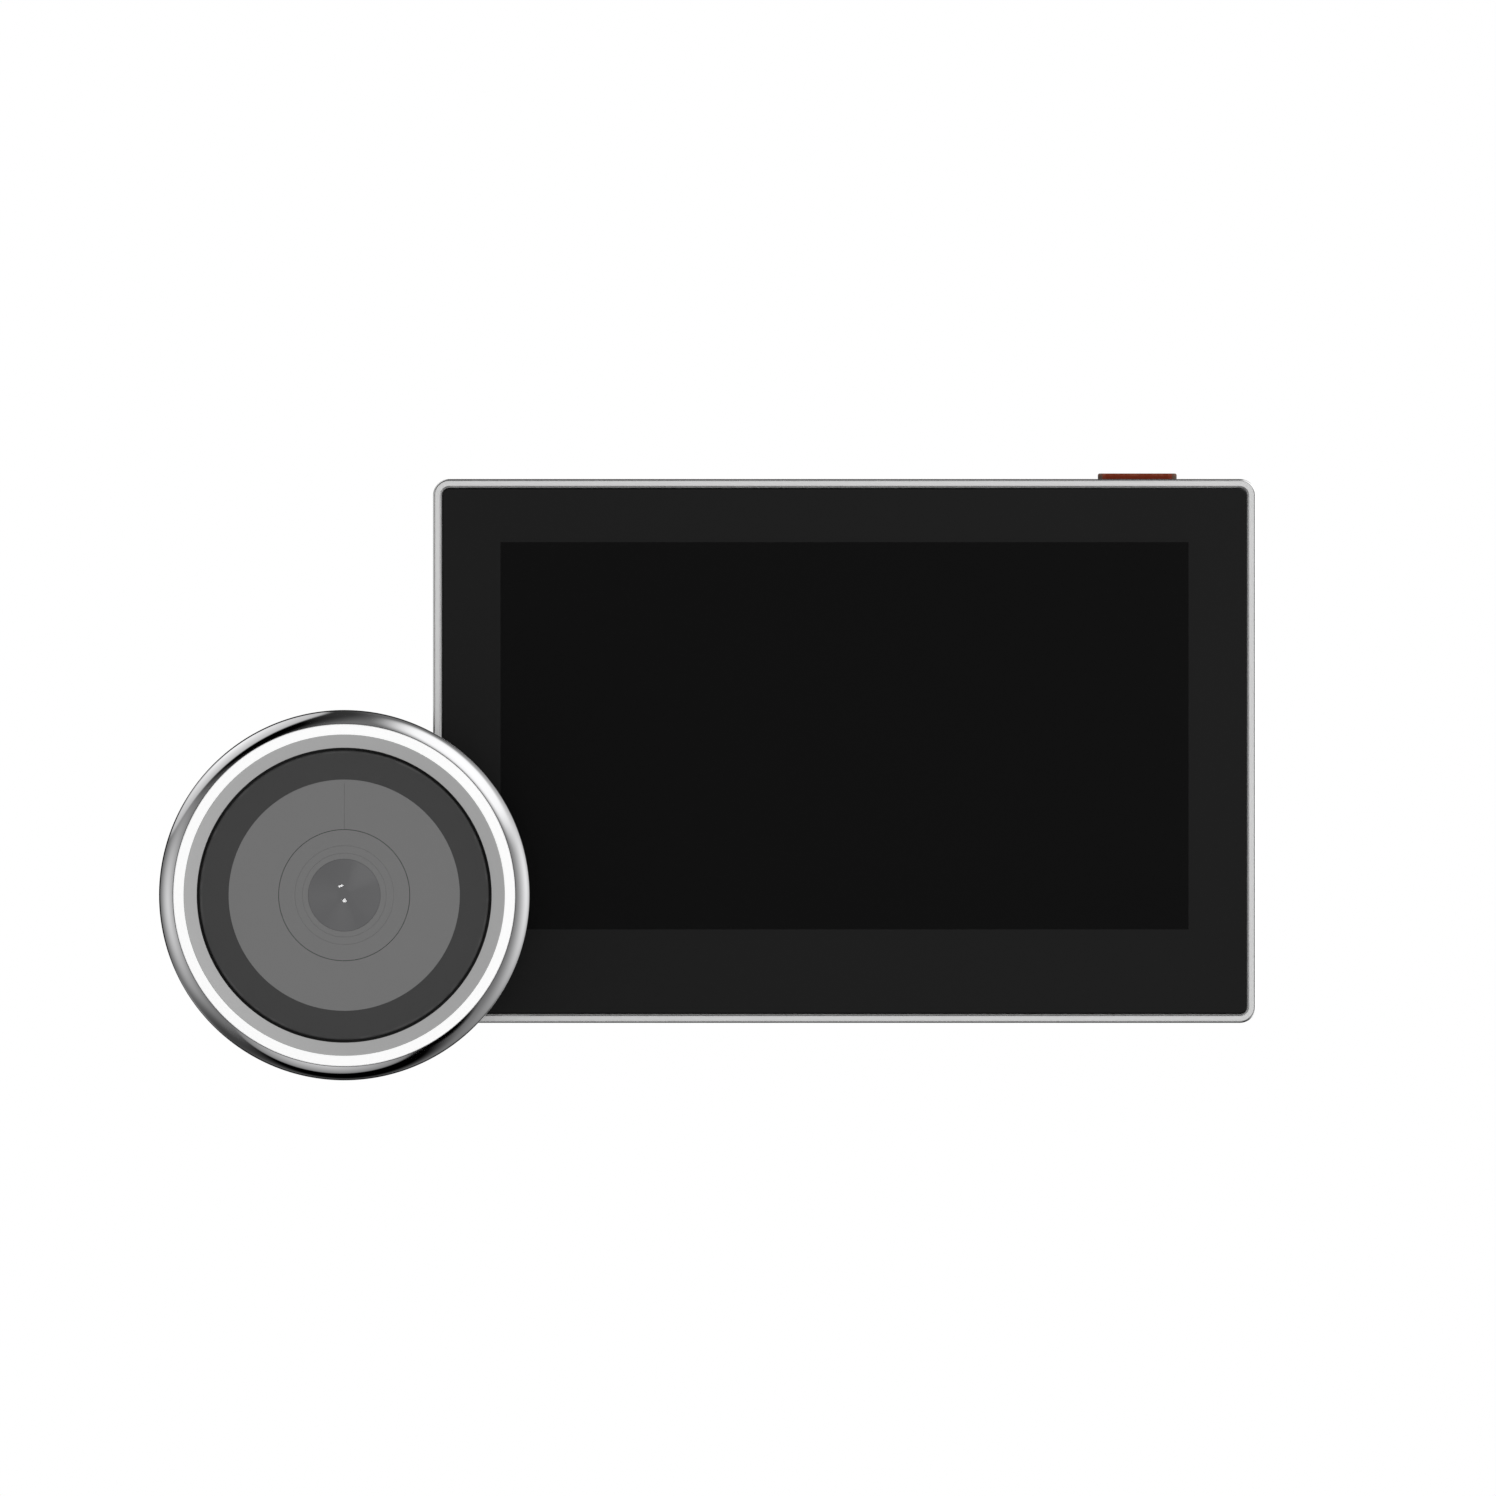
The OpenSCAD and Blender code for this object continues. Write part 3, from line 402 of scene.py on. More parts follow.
class Shell:
    """Mesh of one piece, built loop by loop in millimetres."""

    def __init__(self, place=facing):
        self.place = place
        self.bm = bmesh.new()
        self.rub = self.bm.verts.layers.float.new("edge")

    def vert(self, spot, rub=0.0):
        made = self.bm.verts.new(Vector(spot) * MM)
        made[self.rub] = rub
        return made

    def loop(self, points, level, rub=0.0):
        return [self.vert(self.place(u, v, level), rub) for u, v in points]

    def wall(self, *loops):
        for near, far in zip(loops, loops[1:]):
            for i in range(len(near)):
                self.bm.faces.new((near[i - 1], near[i], far[i], far[i - 1]))

    def cap(self, *loops):
        """Flat face inside the first loop, with the others as holes."""
        verts = [vert for loop in loops for vert in loop]
        spread = [max(v.co[i] for v in verts) - min(v.co[i] for v in verts) for i in range(3)]
        across, along = (i for i in range(3) if i != spread.index(min(spread)))
        spots = [Vector((v.co[across], v.co[along])) / MM for v in verts]
        edges, owner, rounds = [], [], []
        for number, loop in enumerate(loops):
            start, count = len(owner), len(loop)
            edges += [(start + i, start + (i + 1) % count) for i in range(count)]
            rounds.append(spots[start:start + count])
            owner += [number] * count
        inside_outline, nearest = 1, 1e-7
        faces, sources = delaunay_2d_cdt(spots, edges, [], inside_outline, nearest)[2:4]
        for face in faces:
            corners = [sources[i][0] for i in face]
            owners = {owner[i] for i in corners}
            hole = owners.pop() if len(owners) == 1 else 0
            centre = sum((spots[i] for i in corners), Vector(ORIGIN)) / 3
            if not (hole and holds(rounds[hole], centre)):
                self.bm.faces.new([verts[i] for i in corners])

    def ends(self, loops, *openings):
        """Caps of a wall at both ends, round the ends of the openings through it."""
        for i in (0, -1):
            self.cap(loops[i], *(rings[i] for rings in openings))

    def skin(self, outline, profile, closed=False, capped=False):
        """Wall along an outline whose profile is a list of (grow, level) or (grow, level, rub)."""
        loops = [self.loop(outline(grow), level, *rub) for grow, level, *rub in profile]
        self.wall(*loops, *(loops[:1] if closed else ()))
        if capped:
            self.ends(loops)
        return loops

    def hole(self, outline, face, floor, lip=0.12):
        """Hole with a broken edge, from a face to a floor."""
        way = 1 if floor > face else -1
        return self.skin(outline, [
            (2 * lip, face), (lip, face, 1.0), (0.0, face + way * lip, 1.0), (0.0, face + 2 * way * lip),
            (0.0, floor),
        ])

    def turn(self, profile, centre=HEAD_CENTRE, closed=False, count=PLAIN_SIDES):
        """Wall of a ring or disc about an axis along Y, with radius and y in its profile."""
        return self.skin(circle_outline(0.0, centre, count), profile, closed)

    def thread(self, centre, radius, start, stop, depth, pitch, inside=False, per_turn=12):
        """Screw thread that is cut into a round wall between two levels and fades at both."""
        flat, slope, way = 1.5, 4.4, (1 if inside else -1)
        rings, steps = [], max(2, round((stop - start) / pitch * per_turn))
        for i in range(steps + 1):
            y = start + (stop - start) * i / steps
            fade = min(1.0, (y - start) / pitch, (stop - y) / pitch)
            points = []
            for k in range(PLAIN_SIDES):
                phase = ((y - start) / pitch - k / PLAIN_SIDES) % 1.0
                groove = min(1.0, max(0.0, flat - abs(phase - 0.5) * slope))
                points.append(on_circle(
                    centre, radius + way * depth * groove * fade, FULL_TURN * k / PLAIN_SIDES
                ))
            rings.append(self.loop(points, y))
        self.wall(*rings)
        return rings

    def coil(self, centre, radius, wire, base, tip, turns):
        """Spring of round wire about an axis along Y, with its end turns wound close."""
        sides, per_turn, close = 10, 28, 2.2 * wire
        way, loops = (1 if tip > base else -1), []
        open_pitch = (abs(tip - base) - 2 * wire - 2 * close) / (turns - 2)
        section = circle_outline(wire, (radius, wire), sides)()
        for i in range(turns * per_turn + 1):
            t = i / per_turn
            rise = close * (min(t, 1.0) + max(t - turns + 1.0, 0.0))
            rise += open_pitch * min(max(t - 1.0, 0.0), turns - 2.0)
            loops.append([
                self.vert(facing(*on_circle(centre, r, FULL_TURN * t), base + way * (rise + high)))
                for r, high in section
            ])
        self.wall(*loops)
        for end in (loops[0], loops[-1]):
            self.bm.faces.new(end)

    def dome(self, loop, tip):
        """Closes a loop with a fan to a tip."""
        top = self.vert(tip)
        for i in range(len(loop)):
            self.bm.faces.new((loop[i - 1], loop[i], top))

    def object(self, name):
        bmesh.ops.recalc_face_normals(self.bm, faces=self.bm.faces)
        return mesh_object(name, self.bm)


def carve(target, *cutters):
    """Takes the cutters out of a piece."""
    for cutter in cutters:
        modifier = target.modifiers.new("carve", "BOOLEAN")
        modifier.operation = "DIFFERENCE"
        modifier.solver = "EXACT"
        modifier.object = cutter
    whole, name = target.data, target.data.name
    target.data = bpy.data.meshes.new_from_object(
        target.evaluated_get(bpy.context.evaluated_depsgraph_get())
    )
    target.modifiers.clear()
    bpy.data.meshes.remove(whole)
    target.data.name = name
    for cutter in cutters:
        bpy.data.objects.remove(cutter)


def settle(piece, node, material, sharp=32.0):
    """Gives a piece its shading, finish and body, in the place of a CAD node."""
    piece.data.shade_smooth()
    piece.data.set_sharp_from_angle(angle=math.radians(sharp))
    piece.data.materials.clear()
    piece.data.materials.append(material)
    piece.modifiers.new("flat_faces", "WEIGHTED_NORMAL").keep_sharp = True
    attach(piece, BODY_OF[node])
    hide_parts(node)
    return piece


# Shader nodes

def node(tree, kind, inputs=None, **options):
    made = tree.nodes.new("ShaderNode" + kind)
    for key, value in options.items():
        setattr(made, key, value)
    for key, value in (inputs or {}).items():
        if isinstance(value, bpy.types.NodeSocket):
            tree.links.new(value, made.inputs[key])
        else:
            made.inputs[key].default_value = value
    return made


def calc(tree, operation, *values):
    return node(tree, "Math", dict(enumerate(values)), operation=operation).outputs[0]


def away_from(tree, value, centre):
    """Distance of a value from a centre, to either side."""
    return calc(tree, "ABSOLUTE", calc(tree, "SUBTRACT", value, centre))


def ramp(tree, value, low, high, from_low, to_high):
    """Smooth step of a value from low to high, given out between two levels."""
    inputs = {0: value, 1: low, 2: high, 3: from_low, 4: to_high}
    return node(tree, "MapRange", inputs, interpolation_type="SMOOTHSTEP").outputs[0]


def blend(tree, share, first, second):
    return node(tree, "Mix", {0: share, 6: first, 7: second}, data_type="RGBA").outputs[2]


def mix_shaders(tree, share, first, second):
    return node(tree, "MixShader", {0: share, 1: first.outputs[0], 2: second.outputs[0]})


def attribute(tree, label):
    return node(tree, "Attribute", attribute_name=label, attribute_type="GEOMETRY").outputs["Fac"]


def coords(tree):
    return node(tree, "TexCoord").outputs["Object"]


def axes(tree, vector=None):
    return node(tree, "SeparateXYZ", {0: vector or coords(tree)}).outputs


def noise(tree, scale, detail=2.0):
    inputs = {"Vector": coords(tree), "Scale": scale, "Detail": detail}
    return node(tree, "TexNoise", inputs).outputs["Fac"]


def cells(tree, scale):
    return node(tree, "TexVoronoi", {"Vector": coords(tree), "Scale": scale}).outputs["Distance"]


# Shader groups that more than one finish uses

def wire_finish_drift(tree, given):
    patch = calc(tree, "SUBTRACT", noise(tree, given["Scale"], 3.0), 0.5)
    tone = calc(tree, "MULTIPLY_ADD", patch, given["Tone"], 1.0)
    shade = node(tree, "VectorMath", {"Vector": given["Color"], "Scale": tone}, operation="SCALE")
    fine = calc(tree, "SUBTRACT", noise(tree, calc(tree, "MULTIPLY", given["Scale"], 3.7), 4.0), 0.5)
    return shade.outputs[0], calc(tree, "MULTIPLY_ADD", fine, given["Spread"], given["Roughness"])


def wire_surface_grain(tree, given):
    return (noise(tree, given["Scale"]),)


def wire_edge_rub(tree, given):
    patchy = ramp(tree, noise(tree, 420.0, 4.0), 0.42, 0.66, 0.0, 1.0)
    share = calc(tree, "MULTIPLY", calc(tree, "MULTIPLY", attribute(tree, "edge"), patchy), given["Amount"])
    return (blend(tree, share, given["Color"], given["Bare"]),)


def wire_settled_dust(tree, given):
    dust = (0.42, 0.40, 0.37, 1.0)
    up = axes(tree, node(tree, "NewGeometry").outputs["Normal"])["Z"]
    lying = ramp(tree, up, 0.25, 0.95, 0.0, 1.0)
    specks = ramp(tree, noise(tree, 900.0, 5.0), 0.45, 0.75, 0.25, 1.0)
    share = calc(tree, "MULTIPLY", calc(tree, "MULTIPLY", lying, specks), given["Amount"])
    return (blend(tree, share, given["Color"], dust),)


def wire_turned_rings(tree, given):
    place = axes(tree)
    across = calc(tree, "SUBTRACT", place["X"], given["Axis X"])
    high = calc(tree, "SUBTRACT", place["Z"], given["Axis Z"])
    squares = calc(tree, "ADD", calc(tree, "MULTIPLY", across, across), calc(tree, "MULTIPLY", high, high))
    inputs = {"W": calc(tree, "SQRT", squares), "Scale": given["Scale"], "Detail": 3.0}
    return (node(tree, "TexNoise", inputs, noise_dimensions="1D").outputs["Fac"],)


# Each group's name, what wires it, its outputs and its inputs
SHADER_GROUPS = (
    ("finish_drift", wire_finish_drift, ("Color", "Roughness"),
     {"Color": GREY, "Tone": 0.1, "Roughness": 0.5, "Spread": 0.1, "Scale": 60.0}),
    ("surface_grain", wire_surface_grain, ("Height",), {"Scale": 2000.0}),
    ("edge_rub", wire_edge_rub, ("Color",), {"Color": GREY, "Bare": GREY, "Amount": 0.5}),
    ("settled_dust", wire_settled_dust, ("Color",), {"Color": GREY, "Amount": 0.1}),
    ("turned_rings", wire_turned_rings, ("Height",), {"Axis X": 0.0, "Axis Z": 0.0, "Scale": 4000.0}),
)


def make_groups():
    for name, wire, outputs, inputs in SHADER_GROUPS:
        tree = bpy.data.node_groups.new(name, "ShaderNodeTree")
        for label, value in inputs.items():
            kind = "NodeSocketFloat" if isinstance(value, float) else "NodeSocketColor"
            tree.interface.new_socket(name=label, in_out="INPUT", socket_type=kind).default_value = value
        for label in outputs:
            kind = "NodeSocketColor" if label == "Color" else "NodeSocketFloat"
            tree.interface.new_socket(name=label, in_out="OUTPUT", socket_type=kind)
        made = wire(tree, tree.nodes.new("NodeGroupInput").outputs)
        out = tree.nodes.new("NodeGroupOutput").inputs
        for label, socket in zip(outputs, made):
            tree.links.new(socket, out[label])


def place_group(tree, name, inputs):
    return node(tree, "Group", inputs, node_tree=bpy.data.node_groups[name]).outputs


def new_material(name):
    material = bpy.data.materials.new(name)
    material.use_nodes = True
    return material


def finish(
    name, base, roughness, tone=0.08, spread=0.06, patch=70.0, grain=2500.0, depth=0.004,
    bare=None, rub=0.5, dust=0.0, rings=0.0, axis=HEAD_CENTRE, paint=None, polish=None, **sockets
):
    """Surface whose colour and gloss drift, with a grain or turned rings, rubbed edges and dust.

    Paint may change the base colour by place, and polish gives the edges a metal of its own roughness;
    other names set the shader's own sockets."""
    polished = (0.93, 0.93, 0.93, 1.0)
    material = new_material(name)
    tree = material.node_tree
    shader = tree.nodes["Principled BSDF"]
    for key, value in sockets.items():
        shader.inputs[key.replace("_", " ")].default_value = value
    drift = place_group(tree, "finish_drift", {
        "Color": paint(tree) if paint else base, "Tone": tone, "Roughness": roughness,
        "Spread": spread, "Scale": patch,
    })
    shade, gloss = drift["Color"], drift["Roughness"]
    if bare:
        shade = place_group(tree, "edge_rub", {"Color": shade, "Bare": bare, "Amount": rub})["Color"]
    if dust:
        shade = place_group(tree, "settled_dust", {"Color": shade, "Amount": dust})["Color"]
    if polish:
        edge = attribute(tree, "edge")
        gloss = ramp(tree, edge, 0.0, 1.0, gloss, polish)
        metal = ramp(tree, edge, 0.0, 1.0, sockets["Metallic"], 1.0)
        tree.links.new(metal, shader.inputs["Metallic"])
        shade = blend(tree, edge, shade, polished)
    if rings:
        inputs = {"Axis X": axis[0] * MM, "Axis Z": axis[1] * MM, "Scale": rings}
        height = place_group(tree, "turned_rings", inputs)["Height"]
    else:
        height = place_group(tree, "surface_grain", {"Scale": grain})["Height"]
    bump = node(tree, "Bump", {"Strength": 1.0, "Distance": depth * MM, "Height": height})
    tree.links.new(shade, shader.inputs["Base Color"])
    tree.links.new(gloss, shader.inputs["Roughness"])
    tree.links.new(bump.outputs[0], shader.inputs["Normal"])
    return material


# Pieces of the screen unit; s has the sizes in millimetres and c the colours

def unit_outline(s):
    return rect_outline(*span("front_frame").xz, s.corner)


def opening_cutter(outline, face, way):
    """Cutter of an opening with a broken edge, in a face that looks up or down."""
    lip, out, deep = 0.14, 0.3, 2.0
    shell = Shell(upright)
    shell.skin(outline, [
        (0.0, face - way * deep), (0.0, face - way * lip), (lip + out, face + way * out),
    ], capped=True)
    return shell.object("cutter")


def rim_frame(s, c):
    front, back, top, low = UNIT_LOW.y, UNIT_HIGH.y, UNIT_HIGH.z, UNIT_LOW.z
    ledge_front = box_mm("cover_glass")[1].y + 0.3
    ledge_back, ledge_in = ledge_front + 1.4, s.rim + 3.0
    shell = Shell()
    shell.skin(unit_outline(s), soften([
        (-s.rim, back), (0.0, back, s.seam), (0.0, front, s.rim_fillet), (-s.rim, front, 0.06),
        (-s.rim, ledge_front), (-ledge_in, ledge_front), (-ledge_in, ledge_back), (-s.rim, ledge_back),
    ], steps=8), closed=True)
    body = shell.object("rim_frame")
    gap, mic_hole = 0.15, 0.6
    key, usb = span("wake_button").x - 2 * KEY_FOOT, span("usb_socket")
    carve(body, *(opening_cutter(*opening) for opening in (
        (pill_outline(key + 2 * gap, s.key_width + 2 * gap, middle("wake_plunger").xy), top, 1),
        (pill_outline(usb.x + 4 * gap, usb.y + 4 * gap, middle("usb_socket").xy), low, -1),
        (circle_outline(mic_hole, middle("microphone").xy, 32), low, -1),
    )))
    settle(body, "front_frame", finish(
        "satin_rim_metal", c.rim, 0.42, tone=0.03, grain=9000.0, depth=0.0004, polish=0.16, Metallic=0.3,
    ))


def front_glass(s, c):
    low, high = box_mm("cover_glass")
    inset, print_blur, painted_seam_shade = 0.5, 0.08 * MM, (0.001, 0.001, 0.001, 1.0)
    shell = Shell()
    shell.skin(rect_outline(*span("cover_glass").xz, s.glass_corner), soften([
        (-inset, high.y), (0.0, high.y, 0.1), (0.0, low.y, 0.14), (-inset, low.y),
    ]), capped=True)

    def paint(tree):
        """Dark window in the printed border, and painted shade on the rounded edge of the glass, for the
        dark seam by the rim.
        """
        place = axes(tree)
        side = calc(tree, "SUBTRACT", calc(tree, "ABSOLUTE", place["X"]), s.window_width / 2 * MM)
        high_off = away_from(tree, place["Z"], s.window_rise * MM)
        level = calc(tree, "SUBTRACT", high_off, s.window_height / 2 * MM)
        share = ramp(tree, calc(tree, "MAXIMUM", side, level), -print_blur, print_blur, 1.0, 0.0)
        face = blend(tree, share, c.glass_border, c.glass_window)
        # Painted shade: the glass's rounded edge is darkened to near black
        return blend(tree, attribute(tree, "edge"), face, painted_seam_shade)

    settle(shell.object("front_glass"), "cover_glass", finish(
        "black_glass", c.glass_border, 0.05, tone=0.04, spread=0.03, patch=25.0, grain=300.0, depth=0.0004,
        paint=paint, IOR=1.5,
    ))


def wake_key(s, c):
    low, high = box_mm("wake_button")
    centre, long, foot_top = middle("wake_button").xy, high.x - low.x - 2 * KEY_FOOT, low.z + 0.9
    ends, blur = (long / 2 - s.key_shaded_end) * MM, 0.12 * MM
    shell = Shell(upright)
    shell.skin(pill_outline(long, s.key_width, centre), soften([
        (KEY_FOOT, low.z), (KEY_FOOT, foot_top), (0.0, foot_top), (0.0, high.z, s.key_fillet),
        (-s.key_width / 4, high.z),
    ]), capped=True)

    def paint(tree):
        """Red, with painted shade on both ends where the rounded ends turn away."""
        off = away_from(tree, axes(tree)["X"], centre.x * MM)
        return blend(tree, ramp(tree, off, ends - blur, ends + blur, 0.0, 1.0), c.key, c.key_shaded_end)

    settle(shell.object("wake_key"), "wake_button", finish(
        "red_lacquer", c.key, 0.34, tone=0.12, grain=5000.0, depth=0.001, paint=paint,
        bare=linear(150, 84, 60), rub=0.7, Metallic=0.25, Coat_Weight=0.1, Coat_Roughness=0.1,
        Specular_IOR_Level=0.3,
    ))


def speaker_holes():
    centre, step, radius = middle("speaker").xz, 2.6, 0.7
    spots = [centre]
    for ring in range(1, 4):
        spots += arc(centre, ring * step, 0.0, FULL_TURN, 6 * ring)[:-1]
    return [circle_outline(radius, spot, 16) for spot in spots]


def hook_slots():
    width, height, drop = 8.5, 8.35, 3.275
    return [
        rect_outline(width, height, 0.4, (side * HOOK_X, up * HOOK_Z - drop), 4) for side, up in CORNERS
    ]


def screw_spots():
    high = box_mm("cover_screws")[1]
    return [(side * (high.x - SCREW_HEAD), up * (high.z - SCREW_HEAD)) for side, up in CORNERS]


def cable_pocket(shell, back, inner):
    """Pocket with the camera's socket in its floor; returns its loops in the back and the inner face."""
    lip, wall, floor = 0.35, 1.5, box_mm("sleeve_nut")[0].y - 1.9
    top, low = radius_mm("sleeve_nut") + 2.5, box_mm("camera_socket")[0].z - 5.0
    outline = rect_outline(2 * top, top - low, 6.0, (0.0, (top + low) / 2))
    rings = shell.skin(outline, soften([(lip, back), (0.0, back - lip), (0.0, floor, 0.8), (-2.0, floor)]))
    wide, high = span("camera_socket").xz
    mouth = rect_outline(wide + 0.5, high + 0.5, 0.3, middle("camera_socket").xz, 3)
    socket_hole = shell.hole(mouth, floor, floor - wall)
    shell.cap(rings[-1], socket_hole[0])
    outside = shell.skin(outline, [(wall, inner), (wall, floor - wall)])
    shell.cap(outside[-1], socket_hole[-1])
    return rings[0], outside[0]


def back_shell(s, c):
    back, split, well_depth = box_mm("rear_cover")[1].y, UNIT_HIGH.y, 1.6
    inner = back - s.shell
    shell = Shell()
    loops = shell.skin(unit_outline(s), soften([
        (-s.shell, inner), (-s.shell, split), (0.0, split, s.seam), (0.0, back, s.back_round),
        (-s.back_round - 0.1, back),
    ], steps=10))
    through = [shell.hole(outline, back, inner) for outline in speaker_holes() + hook_slots()]
    back_loops, inner_loops = ([rings[i] for rings in through] for i in (0, -1))
    for spot in screw_spots():
        well = shell.hole(circle_outline(SCREW_HEAD + 0.2, spot, 48), back, back - well_depth, lip=0.2)
        back_loops.append(well[0])
        shell.cap(well[-1])
    pocket_mouth, pocket_root = cable_pocket(shell, back, inner)
    shell.cap(loops[-1], *back_loops, pocket_mouth)
    shell.cap(loops[0], *inner_loops, pocket_root)
    settle(shell.object("back_shell"), "rear_cover", finish(
        "charcoal_plastic", c.cover, 0.56, tone=0.14, spread=0.1, grain=3200.0, depth=0.02,
        bare=linear(78, 79, 81), dust=0.06,
    ))


def corner_screws():
    low, high = box_mm("cover_screws")
    shank, seat = 0.98, high.y - 1.0
    shell = Shell()
    for spot in screw_spots():
        loops = shell.turn(soften([
            (shank * 0.4, low.y), (shank, low.y, 0.3), (shank, seat), (SCREW_HEAD, seat),
            (SCREW_HEAD, high.y, 0.55), (SCREW_HEAD * 0.66, high.y),
        ]), spot, count=48)
        recess = shell.skin(cross_outline(0.85, 0.42, spot), [
            (0.05, high.y, 1.0), (0.0, high.y - 0.06), (-0.12, high.y - 0.7),
        ])
        shell.cap(loops[-1], recess[0])
        shell.cap(recess[-1])
        shell.cap(loops[0])
    settle(shell.object("corner_screws"), "cover_screws", finish(
        "zinc_screw", SLOT_COLOUR["screw_steel"], 0.34, tone=0.2, spread=0.12, patch=300.0, grain=6000.0,
        depth=0.002, Metallic=1.0,
    ))


def charging_socket():
    low, high = box_mm("usb_socket")
    centre, size, steel = middle("usb_socket").xy, span("usb_socket"), SLOT_COLOUR["socket_steel"]
    skin, inset, floor = 0.3, 0.6, low.z + 5.2
    tongue, contact_step = (6.6, 0.7), 0.5
    dark, gold = (0.02, 0.02, 0.02, 1.0), (0.75, 0.55, 0.2, 1.0)
    shell = Shell(upright)
    shell.skin(pill_outline(size.x, size.y, centre), soften([
        (-skin - inset, floor), (-skin, floor), (-skin, low.z, 0.1), (0.0, low.z, 0.12), (0.0, high.z),
        (-inset, high.z),
    ]), capped=True)
    shell.skin(rect_outline(*tongue, 0.25, centre, 4), soften([
        (0.0, floor), (0.0, low.z + skin, 0.15), (-0.2, low.z + skin),
    ], steps=3), capped=True)

    def paint(tree):
        """Plated shell; the tongue is dark with a row of bright contacts."""
        place = axes(tree)
        off_x, off_y = (away_from(tree, place[key], at * MM) for key, at in zip("XY", centre))
        inside = calc(
            tree, "MULTIPLY", ramp(tree, off_x, 3.3 * MM, 3.4 * MM, 1.0, 0.0),
            ramp(tree, off_y, 0.36 * MM, 0.5 * MM, 1.0, 0.0),
        )
        wave = calc(tree, "SINE", calc(tree, "MULTIPLY", off_x, FULL_TURN / (contact_step * MM)))
        core = blend(tree, ramp(tree, wave, 0.1, 0.4, 0.0, 1.0), dark, gold)
        return blend(tree, inside, steel, core)

    settle(shell.object("charging_socket"), "usb_socket", finish(
        "plated_socket", steel, 0.3, grain=6000.0, depth=0.001, paint=paint, Metallic=0.9,
    ))


class DOORCAM_OT_rim_frame(Operator):
    """Bright metal frame with a rounded rim, and openings for the key, the socket and the microphone"""

    bl_idname = "doorcam.rim_frame"
    bl_label = "Rim Frame"

    def execute(self, context):
        rim_frame(*settings(context))
        return {"FINISHED"}


class DOORCAM_OT_front_glass(Operator):
    """Black glass front with a printed border and a darker screen window"""

    bl_idname = "doorcam.front_glass"
    bl_label = "Front Glass"

    def execute(self, context):
        front_glass(*settings(context))
        return {"FINISHED"}


class DOORCAM_OT_wake_key(Operator):
    """Red key in the top edge, with painted shade on its ends"""

    bl_idname = "doorcam.wake_key"
    bl_label = "Wake Key"

    def execute(self, context):
        wake_key(*settings(context))
        return {"FINISHED"}


class DOORCAM_OT_back_shell(Operator):
    """Charcoal back shell with its pocket, hook slots, speaker holes and screw wells"""

    bl_idname = "doorcam.back_shell"
    bl_label = "Back Shell"

    def execute(self, context):
        back_shell(*settings(context))
        return {"FINISHED"}


class DOORCAM_OT_small_hardware(Operator):
    """Corner screws with cross recesses, and the charging socket with its tongue"""

    bl_idname = "doorcam.small_hardware"
    bl_label = "Small Hardware"

    def execute(self, context):
        corner_screws()
        charging_socket()
        return {"FINISHED"}


# Pieces of the door bracket

def hook(shell, x, z, root, tip):
    """Strip that leaves the plate towards the viewer and bends up."""
    half, bend, steps = PLATE_THICK / 2, PLATE_THICK, 8
    leg = tip + half
    path = [((root + 0.1, z), (0.0, 1.0)), ((leg + bend, z), (0.0, 1.0))]
    for k in range(1, steps + 1):
        along, across = on_circle(ORIGIN, 1.0, QUARTER_TURN * k / steps)
        path.append(((leg + bend - bend * across, z + bend - bend * along), (across, along)))
    path.append(((leg, z + half + HOOK_RISE), (1.0, 0.0)))
    section = rect_outline(HOOK_WIDTH, PLATE_THICK, 0.3, steps=3)()
    rings = [
        [shell.vert((x + u, y + v * across, height + v * along)) for u, v in section]
        for (y, height), (across, along) in path
    ]
    shell.wall(*rings)
    shell.ends(rings)


def hook_plate():
    low, high = box_mm("bracket_plate")
    back, front, inset, bore = high.y, high.y - PLATE_THICK, 0.6, 11.05
    shell = Shell()
    loops = shell.skin(rect_outline(*span("bracket_plate").xz, 6.0), soften([
        (-inset, back), (0.0, back, 0.25), (0.0, front, 0.25), (-inset, front),
    ]))
    openings = [shell.skin(circle_outline(bore), [
        (0.4, back), (0.2, back, 1.0), (0.0, back - 0.2, 1.0), (0.0, back - 0.4),
        (0.0, front + 0.4), (0.0, front + 0.2, 1.0), (0.2, front, 1.0), (0.4, front),
    ])]
    for side, up in CORNERS:
        spot = (side * HOOK_X, up * HOOK_Z + PLATE_THICK / 2 + HOOK_RISE / 2)
        window = rect_outline(HOOK_WIDTH, HOOK_RISE, 0.25, spot, 3)
        openings.append(shell.skin(window, [(0.0, back), (0.0, front)]))
    shell.ends(loops, *openings)
    for side, up in CORNERS:
        hook(shell, side * HOOK_X, up * HOOK_Z, front, low.y)
    settle(shell.object("hook_plate"), "bracket_plate", finish(
        "powder_coat", SLOT_COLOUR["bracket_steel"], 0.5, tone=0.12, spread=0.1, grain=1500.0, depth=0.02,
        bare=(0.45, 0.45, 0.46, 1.0), rub=0.4, dust=0.05,
    ))


def foam_pad():
    low, high = box_mm("door_pad")
    inset, hole_r, lip, foam = 1.0, 15.0, 0.2, SLOT_COLOUR["pad_foam"]
    shell = Shell()
    loops = shell.skin(rect_outline(*span("door_pad").xz, 5.0), soften([
        (-inset, high.y), (0.0, high.y, 0.22), (-0.05, (low.y + high.y) / 2, 0.3), (0.0, low.y, 0.1),
        (-inset, low.y),
    ], steps=4))
    rings = shell.skin(circle_outline(hole_r), [
        (lip, high.y), (0.06, high.y - 0.06), (0.0, high.y - lip), (0.0, low.y),
    ])
    shell.ends(loops, rings)

    def paint(tree):
        """Cells of the foam, with painted shade darkening their middles for the shade in the pores."""
        share = ramp(tree, cells(tree, 2600.0), 0.15, 0.6, 0.0, 1.0)
        return blend(tree, share, (0.018, 0.018, 0.02, 1.0), foam)

    pad = settle(shell.object("foam_pad"), "door_pad", finish(
        "foam", foam, 0.9, tone=0.15, grain=2600.0, depth=0.05, paint=paint, dust=0.04,
    ))


